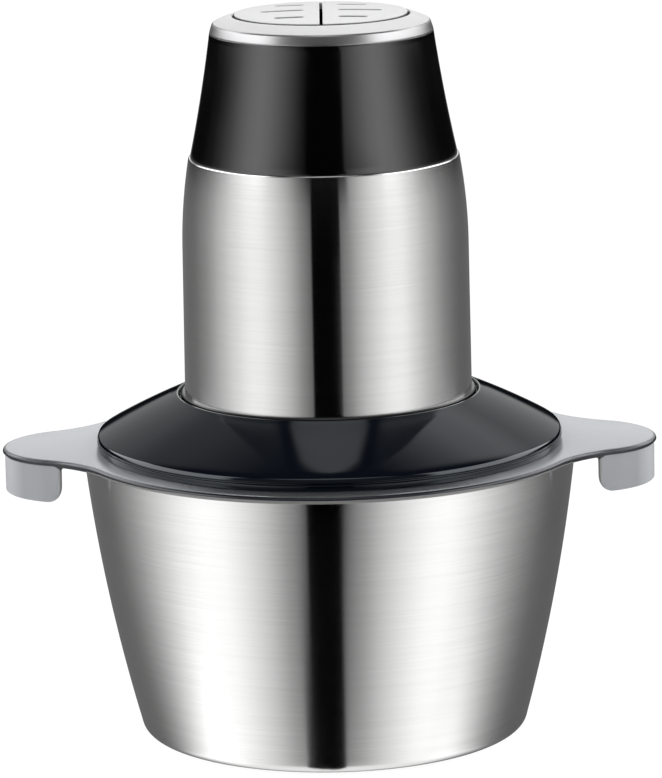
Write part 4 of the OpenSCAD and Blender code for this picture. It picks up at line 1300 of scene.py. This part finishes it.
@dataclass
class Buttons:
    """The two half-moon push buttons, domed and grooved.

    Attributes:
        radius: Radius of the round that both make.
        gap: Width of the gap between them.
        edge_z: Height of the dome's edge.
        dome: Rise of the dome.
        groove_w: Width of a groove.
        pitch: Distance between neighbouring grooves.
        inner: Where the grooves start, from the middle line.
        outer: Where each of them ends.
        edge_r: Rounding of the upper edge.
        skirt: How far the cap reaches down under the dome's edge.
        groove_side: Side of a groove, as distance inside its edge and depth.
    """

    radius: float = 32.3
    gap: float = 1.2
    edge_z: float = 273.9
    dome: float = 1.0
    groove_w: float = 3.0
    pitch: float = 17.0
    inner: float = 6.0
    outer: tuple[float, float, float] = (17.6, 23.0, 17.6)
    edge_r: float = 0.5
    skirt: float = 0.9
    groove_side: tuple[Point, ...] = ((-0.25, 0.0), (-0.12, -0.03), (0.0, -0.12), (0.06, -0.3),
                                      (0.12, -0.7), (0.25, -0.86), (0.42, -0.9))

    def height(self, x: float, y: float) -> float:
        """Gives the dome's height over a point."""
        ball = (self.radius**2 + self.dome**2) / (2 * self.dome)
        return self.edge_z + self.dome - ball + math.sqrt(ball**2 - x * x - y * y)

    def half_moon(self, inset: float) -> list[Point]:
        """Gives the outline of the right-hand button.

        Args:
            inset: How far it lies inside the button's edge.

        Returns:
            The points.
        """
        reach = self.radius - inset
        left = self.gap / 2 + inset
        end = math.degrees(math.acos(left / reach))
        rim = arc((0, 0), reach, -end, end, 72)
        drop = [(left, rim[-1][1] + (rim[0][1] - rim[-1][1]) * k / 24) for k in range(1, 24)]
        return rim + drop

    def slot(self, row: int, inset: float) -> list[Point]:
        """Gives the outline of a groove.

        Args:
            row: Which of the three grooves, from 0.
            inset: How far it lies inside the groove's edge.

        Returns:
            The points.
        """
        half = self.groove_w / 2
        y = (row - 1) * self.pitch
        right = arc((self.outer[row] - half, y), half - inset, -90, 90, 12)
        left = arc((self.inner + half, y), half - inset, 90, 270, 12)
        run = self.outer[row] - half - self.inner - half
        upper = [(self.outer[row] - half - run * k / 8, y + half - inset) for k in range(1, 8)]
        lower = [(self.inner + half + run * k / 8, y - half + inset) for k in range(1, 8)]
        return right + upper + left + lower

    def top_surface(self) -> tuple[list[Point3], list[list[int]], int]:
        """Builds the top: a dome with rounded edges and sunken grooves.

        Returns:
            Points, faces and the number of points in the outermost loop.
        """
        layers: list[tuple[list[Point], float]] = []
        for k in range(5):
            turn = math.radians(22.5 * k)
            inset = self.edge_r * (1 - math.cos(turn)) + 1e-4 * k
            layers.append((self.half_moon(inset), -self.edge_r * (1 - math.sin(turn))))
        for row in range(3):
            layers += [(self.slot(row, inset), sink) for inset, sink in self.groove_side]
        points: list[Vector] = []
        edges: list[tuple[int, int]] = []
        sinks: list[float] = []
        for outline, sink in layers:
            first = len(points)
            points += [Vector(p) for p in outline]
            sinks += [sink] * len(outline)
            edges += [(first + k, first + (k + 1) % len(outline)) for k in range(len(outline))]
        for k in range(1, 12):
            for spot in arc((0, 0), self.radius * k / 12, -90, 90, 6 + 3 * k):
                if spot[0] > self.gap / 2 + 1 and self.clear_of_slots(spot):
                    points.append(Vector(spot))
                    sinks.append(0.0)
        flat, _, faces, origins, _, _ = delaunay_2d_cdt(points, edges, [], 1, 1e-5)
        raised = [(p.x, p.y, self.height(p.x, p.y) + sinks[origins[k][0]]) for k, p in enumerate(flat)]
        return raised, [list(f) for f in faces], len(self.half_moon(0))

    def clear_of_slots(self, spot: Point) -> bool:
        """Tells whether a point keeps clear of every groove."""
        return all(abs(spot[1] - (row - 1) * self.pitch) > self.groove_w / 2 + 0.8
                   or not self.inner - 1 < spot[0] < self.outer[row] + 1 for row in range(3))

    def build(self) -> None:
        """Builds both buttons, the left one as the right one turned half round."""
        for name, body, turn in (("high_cap", "high_button", 0.0), ("low_cap", "low_button", math.pi)):
            piece = self.cap(name)
            piece.data.transform(Matrix.Rotation(turn, 4, "Z"))
            Maker.finish(piece, Slot.BUTTON, body)

    def cap(self, name: str) -> bpy.types.Object:
        """Builds one cap that covers the top of the CAD cap: the grooved dome and a closed skirt.

        Args:
            name: Name of the piece.

        Returns:
            The object.
        """
        points, faces, rim = self.top_surface()
        low = self.edge_z - self.skirt
        edge_points = self.half_moon(0)
        base = len(points)
        points += [(x, y, low) for x, y in edge_points]
        order = [min(range(base), key=lambda k: (points[k][0] - x) ** 2 + (points[k][1] - y) ** 2)
                 for x, y in edge_points]
        for k in range(rim):
            nxt = (k + 1) % rim
            faces.append([order[k], order[nxt], base + nxt, base + k])
        faces.append([base + k for k in range(rim)])
        return Maker.mesh(name, points, faces, 50)


@dataclass
class Fasteners:
    """The heads of the screws under the foot, each with a cross recess.

    Attributes:
        count: Number of screws.
        circle_r: Radius of the circle that they stand on.
        start: Angle of the first one in degrees.
        seat: Height of the face that the heads sit on.
        head_r: Radius of a head.
    """

    count: int = 4
    circle_r: float = 40.25
    start: float = 45.0
    seat: float = 128.2
    head_r: float = 3.1

    def head(self) -> bpy.types.Object:
        """Builds a pan head of radius 1 that faces down, with its cross recess.

        Returns:
            The head, as a shape to be set on points.
        """

        def cross(angle: float, arm: float, half: float) -> float:
            """Gives the reach of a cross at an angle, from its arm's length and half its width."""
            side = abs((angle + math.pi / 4) % (math.pi / 2) - math.pi / 4)
            return min(arm / math.cos(side), half / max(1e-6, math.sin(side)))

        rings: list[tuple[Callable[[float], float], float]] = [
            (lambda a: 1.0, 0.0), (lambda a: 1.0, -0.3), (lambda a: 0.94, -0.5), (lambda a: 0.78, -0.64),
            (lambda a: 0.62, -0.7), (lambda a: cross(a, 0.52, 0.14), -0.72),
            (lambda a: cross(a, 0.46, 0.11), -0.25)]
        loops = []
        for reach, z in rings:
            loops.append([(reach(t) * math.cos(t), reach(t) * math.sin(t), z)
                          for t in (2 * math.pi * k / 48 for k in range(48))])
        return Maker.skin("screw_head", loops, False)

    def build(self) -> None:
        """Sets the heads on their circle."""
        tool = self.head()
        graph = ShapeGraph("screw_circle", [
            ("Count", "Int", self.count), ("Radius", "Float", self.circle_r * MM),
            ("Height", "Float", self.seat * MM), ("Head", "Object", tool), ("Scale", "Float", self.head_r),
            ("Finish", "Material", Slot.SCREW.material)])
        shape = graph.out("GeometryNodeObjectInfo", "Geometry", None, {"Object": graph.given("Head")})
        size = graph.given("Scale")
        scaled = graph.out("GeometryNodeTransform", "Geometry", None,
                           {"Geometry": shape, "Scale": graph.join(size, size, size)})
        piece = graph.run("foot_screw_heads", on_points(graph, round_points(graph, self.start), scaled))
        Maker.finish(piece, Slot.SCREW, "motor_unit")
        bpy.data.objects.remove(tool)


@dataclass
class Springs:
    """The coil springs round the guide pins, built at one length.

    Attributes:
        coil_r: Radius of the coil at the middle of its wire.
        wire_r: Radius of the wire.
        centre: Distance of a coil's axis from the middle.
        turns: Number of turns.
        steps: Steps in a turn.
        sides: Points round the wire.
        travel: How far a button goes down; not used.
    """

    coil_r: float = 6.0
    wire_r: float = 0.45
    centre: float = 18.0
    turns: int = 6
    steps: int = 36
    sides: int = 10
    travel: float = 2.5

    def coil(self, side: int, foot: float, head: float) -> list[list[Point3]]:
        """Winds the wire's outline along the coil.

        Args:
            side: -1 for the left spring and 1 for the right one.
            foot: Height of the wire's middle at the bottom.
            head: The same at the top.

        Returns:
            Loops of points.
        """
        loops = []
        last = self.turns * self.steps
        for i in range(last + 1):
            turn = 2 * math.pi * i / self.steps
            loop = []
            for k in range(self.sides):
                tilt = -2 * math.pi * k / self.sides
                reach = self.coil_r + self.wire_r * math.cos(tilt)
                loop.append((side * (self.centre + reach * math.cos(turn)), side * reach * math.sin(turn),
                             foot + (head - foot) * i / last + self.wire_r * math.sin(tilt)))
            loops.append(loop)
        return loops

    def build(self) -> None:
        """Builds both springs over the CAD ones."""
        for side, label in ((-1, "low"), (1, "high")):
            low, high = (corner.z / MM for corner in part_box(f"{label}_button_spring"))
            piece = Maker.skin(f"{label}_coil", self.coil(side, low + self.wire_r, high - self.wire_r), False)
            Maker.finish(piece, Slot.SPRING, "motor_unit", f"{label}_button_spring")
            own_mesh(piece)


@dataclass
class Carried:
    """The CAD nodes whose shape is right: they keep it, and get finishes and smooth shading.

    Attributes:
        finishes: The finish of each material slot in the record, by its name.
    """

    finishes: dict[str, Slot] = field(default_factory=lambda: {slot.value.name: slot for slot in Slot})

    def smoother(self) -> bpy.types.NodeTree:
        """Builds the tree that joins loose triangles and shades them smooth up to an angle.

        Returns:
            The tree.
        """
        tree = bpy.data.node_groups.new("smooth_facets", "GeometryNodeTree")
        graph = Graph(tree)
        tree.interface.new_socket(name="Geometry", in_out="INPUT", socket_type="NodeSocketGeometry")
        tree.interface.new_socket(name="Geometry", in_out="OUTPUT", socket_type="NodeSocketGeometry")
        joined = graph.out("GeometryNodeMergeByDistance", "Geometry", None,
                           {"Geometry": graph.out("NodeGroupInput", "Geometry"), "Distance": 1e-7})
        angle = graph.out("GeometryNodeInputMeshEdgeAngle", "Unsigned Angle")
        soft = graph.out("FunctionNodeCompare", "Result", {"data_type": "FLOAT", "operation": "LESS_THAN"},
                         {0: angle, 1: math.radians(28)})
        faces = graph.out("GeometryNodeSetShadeSmooth", "Geometry", {"domain": "FACE"}, {0: joined, 2: True})
        edges = graph.out("GeometryNodeSetShadeSmooth", "Geometry", {"domain": "EDGE"}, {0: faces, 2: soft})
        graph.node("NodeGroupOutput", None, {"Geometry": edges})
        return tree

    def dress(self, frame: dict[str, Any]) -> None:
        """Gives every CAD node the finish of its slot in the record.
        """
        tree = self.smoother()
        by_node = {row["node"]: row["material_slot"] for row in frame["record"]["subparts"]}
        for name, node in frame["nodes"].items():
            slot = self.finishes[by_node[name]]
            if not node.material_slots:
                node.data.materials.append(slot.material)
            for holder in node.material_slots:
                holder.material = slot.material
            node.modifiers.new("smooth_facets", "NODES").node_group = tree
            LOG.info("%s keeps its shape, dressed as %s", name, slot.value.name)


@dataclass(frozen=True)
class Panel:
    """A patch of light in the studio.

    Attributes:
        turn: Where it starts, is full, is still full and ends, by the direction from the
            camera's side (0) to the far side (1).
        height: The same by height, from the horizon (0) to straight up (1).
        level: Brightness.
        tilt: How much lower it hangs for each unit of turn.
        right: Factor on the brightness to the right.
    """

    turn: tuple[float, float, float, float]
    height: tuple[float, float, float, float]
    level: float
    tilt: float = 0.0
    right: float = 1.0

    def over(self, graph: ShaderGraph, light: Value, x: Value, turn: Value, z: Value) -> Value:
        """Lays the panel over the light behind it.

        Args:
            graph: The world's graph.
            light: Brightness behind the panel.
            x: Direction to the right.
            turn: Direction from the camera's side to the far side.
            z: Height of the direction.

        Returns:
            The brightness with the panel.
        """
        share: Any = 1.0
        for value, (start, full, last, end) in ((turn, self.turn), (z + self.tilt * turn, self.height)):
            if full > 0:
                share = graph.slope(value, start, full) * share
            if end < 1.5:
                share = (1.0 - graph.slope(value, last, end)) * share
        level = self.level * (1.0 + (self.right - 1.0) * graph.slope(x + 0.5, 0.45, 0.55))
        return light + share * (level - light)


@dataclass
class Studio:
    """Floor, world light and camera.

    Attributes:
        low_sides: Brightness of the panels round the object below the horizon, by their
            direction from the camera's side (0) to the far side (1).
        high_sides: The same above the horizon.
        panels: What hangs in front of them, each over the ones before it.
        stripe_half: Half the width of the dark stripe by height, from straight down (0) to up (1).
        stripe_right: How far to the right its middle stands, by height, counted from stripe_zero.
        stripe_zero: The direction that stripe_right counts from.
        brightest: The level that the ramps of both sides are written to a share of.
        camera_at: Place of the camera in metres.
        pitch: How far it looks up, in degrees.
        yaw: How far it looks to the right.
        roll: How far it is turned about its own line of sight.
        lens: Focal length in millimetres, on a sensor as wide as sensor.
        sensor: Width of that sensor in millimetres.
    """

    low_sides: tuple[tuple[float, float], ...] = (
        (0.0, 0.09), (0.045, 0.11), (0.061, 0.18), (0.072, 0.23), (0.094, 0.32), (0.111, 0.39),
        (0.133, 0.52), (0.172, 0.74), (0.217, 0.96), (0.256, 1.13), (0.294, 1.26), (0.344, 1.28),
        (0.378, 1.20), (0.406, 1.09), (0.450, 0.94), (0.489, 0.78), (0.528, 0.64), (0.572, 0.48),
        (0.611, 0.36), (0.650, 0.27), (0.694, 0.19), (0.733, 0.155), (0.80, 0.14), (1.0, 0.15))
    high_sides: tuple[tuple[float, float], ...] = (
        (0.0, 0.02), (0.070, 0.04), (0.105, 0.20), (0.150, 0.50), (0.205, 0.90), (0.260, 1.28),
        (0.316, 1.46), (0.372, 1.28), (0.428, 0.90), (0.489, 0.46), (0.550, 0.18), (0.611, 0.05),
        (0.694, 0.008), (1.0, 0.004))
    panels: tuple[Panel, ...] = (
        Panel((0, 0, 2, 2), (0.22, 0.30, 2, 2), 0.05),
        Panel((0, 0, 0.26, 0.30), (0.26, 0.32, 0.78, 0.82), 0.16),
        Panel((0.28, 0.32, 0.76, 0.80), (0.34, 0.40, 0.84, 0.88), 3.2, tilt=0.3),
        Panel((0.78, 0.82, 2, 2), (0.04, 0.10, 0.62, 0.90), 0.40, right=1.3),
        Panel((0.78, 0.82, 2, 2), (0.50, 0.62, 0.74, 0.93), 0.30, right=3.0),
        Panel((0, 0, 0.255, 0.275), (0.80, 0.86, 2, 2), 1.25),
        Panel((0.945, 0.965, 2, 2), (0.05, 0.14, 0.62, 0.75), 1.15))
    stripe_half: tuple[tuple[float, float], ...] = (
        (0.0, 0.112), (0.225, 0.049), (0.285, 0.049), (0.40, 0.064), (0.552, 0.063), (0.562, 0.097),
        (0.62, 0.0926))
    stripe_right: tuple[tuple[float, float], ...] = (
        (0.0, 0.0296), (0.20, 0.0536), (0.21, 0.0561), (0.40, 0.080), (0.552, 0.080), (0.562, 0.0931),
        (0.62, 0.0835))
    stripe_zero: float = -0.08
    brightest: float = 1.5
    camera_at: Point3 = (0.0, -1.8208, 0.5144)
    pitch: float = -11.909
    yaw: float = 0.03
    roll: float = -1.1505
    lens: float = 227.4
    sensor: float = 36.0

    def world(self) -> None:
        """Builds the studio round the object: white to the camera, panels to everything else."""
        world = bpy.data.worlds.new("studio")
        bpy.context.scene.world = world
        world.use_nodes = True
        world.node_tree.nodes.clear()
        graph = ShaderGraph(world.node_tree)
        x, y, z = graph.split(graph.out("ShaderNodeTexCoord", "Generated"))
        around = x.apply("ARCTAN2", 0.0 - y) / math.pi
        light = self.sides(graph, around, z)
        for panel in self.panels:
            light = panel.over(graph, light, x, around.apply("ABSOLUTE"), z)
        under = graph.slope(z, -0.74, -0.90)
        light = light + under * (1.0 - light)
        light = light * self.beside_stripe(graph, around, z)
        seen = graph.out("ShaderNodeLightPath", "Is Camera Ray")
        studio = graph.out("ShaderNodeBackground", "Background", None, {"Color": light, "Strength": 1.0})
        white = graph.out("ShaderNodeBackground", "Background", None,
                          {"Color": (1, 1, 1, 1), "Strength": 1.0})
        both = graph.out("ShaderNodeMixShader", "Shader", None, {0: seen, 1: studio, 2: white})
        graph.node("ShaderNodeOutputWorld", None, {"Surface": both})

    def sides(self, graph: ShaderGraph, around: Value, z: Value) -> Value:
        """Builds the light from the sides, below and above the horizon.

        Args:
            graph: The world's graph.
            around: Direction round the object, from -1 to 1, with 0 towards the camera.
            z: Height of the direction.

        Returns:
            The brightness.
        """
        top = self.brightest
        turn = around.apply("ABSOLUTE")
        sunk = (-0.2 - z).apply("MAXIMUM", 0.0).apply("MINIMUM", 0.4)
        lean = 0.002 + 0.057 * sunk + 0.02 * (z + 0.2).apply("MAXIMUM", 0.0)
        narrow = 1.0 - 0.18 * graph.slope(z, -0.58, -0.70)
        below = (around + lean).apply("ABSOLUTE") * narrow
        low = graph.ramp(below, [(p, v / top) for p, v in self.low_sides])
        high = graph.ramp((around + 0.024).apply("ABSOLUTE"), [(p, v / top) for p, v in self.high_sides])
        level = graph.slope(turn, 0.60, 0.69) * graph.slope(z, -0.26, -0.21)
        deep = graph.slope(turn, 0.38, 0.48) * graph.slope(z, -0.48, -0.62)
        right = graph.slope(around, 0.36, 0.48)
        low = (low + level * (0.04 / top)) * (1.0 + 0.68 * deep) * (1.0 - 0.13 * right)
        horizon = graph.ramp(turn, ((0.0, 0.0), (0.25, 0.008), (0.45, 0.056), (0.61, 0.108), (0.69, 0.143),
                                    (0.78, 0.183), (0.85, 0.213), (0.92, 0.24)))
        above = graph.slope(z + horizon, 0.114, 0.134)
        return (low + above * (high - low)) * top

    def beside_stripe(self, graph: ShaderGraph, around: Value, z: Value) -> Value:
        """Gives 0 in the dark stripe that stands towards the camera, and 1 beside it.

        Args:
            graph: The world's graph.
            around: Direction round the object, from -1 to 1, with 0 towards the camera.
            z: Height of the direction.

        Returns:
            The factor on the light.
        """
        height = (z + 1.0) * 0.5
        half = graph.ramp(height, self.stripe_half)
        middle = (around - graph.ramp(height, self.stripe_right) - self.stripe_zero).apply("ABSOLUTE") / half
        return 1.0 - (1.0 - graph.slope(middle * 0.5, 0.485, 0.515)) * (1.0 - graph.slope(z, 0.36, 0.42))

    def floor(self) -> None:
        """Builds the pale floor: lit as any floor, and close to white for the camera."""
        reach = 3000
        corners = [(-reach, -reach, 0), (reach, -reach, 0), (reach, reach, 0), (-reach, reach, 0)]
        piece = Maker.mesh("floor", corners, [[0, 1, 2, 3]])
        material = bpy.data.materials.new("floor_paper")
        material.use_nodes = True
        material.node_tree.nodes.clear()
        graph = ShaderGraph(material.node_tree)
        matt = graph.out("ShaderNodeBsdfDiffuse", "BSDF", None, {"Color": (0.9, 0.9, 0.9, 1)})
        glow = graph.out("ShaderNodeEmission", "Emission", None,
                         {"Color": (1, 1, 1, 1), "Strength": 1.08})
        seen = graph.out("ShaderNodeLightPath", "Is Camera Ray")
        both = graph.out("ShaderNodeMixShader", "Shader", None, {0: seen * 0.84, 1: matt, 2: glow})
        graph.node("ShaderNodeOutputMaterial", None, {"Surface": both})
        piece.data.materials.append(material)
        piece.visible_glossy = False

    def camera(self) -> None:
        """Sets the camera where the photograph was taken from."""
        data = bpy.data.cameras.new("view")
        data.sensor_width = self.sensor
        data.lens = self.lens
        data.clip_start = 0.05
        pitch, yaw, roll = (math.radians(a) for a in (self.pitch, self.yaw, self.roll))
        ahead = Vector((math.sin(yaw) * math.cos(pitch), math.cos(yaw) * math.cos(pitch), math.sin(pitch)))
        right = Vector((math.cos(yaw), -math.sin(yaw), 0))
        upward = right.cross(ahead)
        right, upward = (right * math.cos(roll) + upward * math.sin(roll),
                         upward * math.cos(roll) - right * math.sin(roll))
        turn = Matrix((right, upward, -ahead)).transposed().to_4x4()
        camera = bpy.data.objects.new("view", data)
        bpy.context.scene.collection.objects.link(camera)
        camera.matrix_world = Matrix.Translation(self.camera_at) @ turn
        bpy.context.scene.camera = camera

    def build(self) -> None:
        """Builds the whole studio."""
        self.camera()
        self.world()
        self.floor()
        bpy.context.scene.view_settings.view_transform = "Standard"


def main() -> None:
    """Loads the frame and builds the pieces in order."""
    logging.basicConfig(level=logging.INFO, format="%(name)s: %(message)s")
    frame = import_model()
    Studio().build()
    Carried().dress(frame)
    for part in (Bowl(), HandleRing(), Lid(), MotorShell(), Buttons(), Springs(), Fasteners()):
        part.build()
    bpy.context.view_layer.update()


if __name__ == "__main__":
    main()
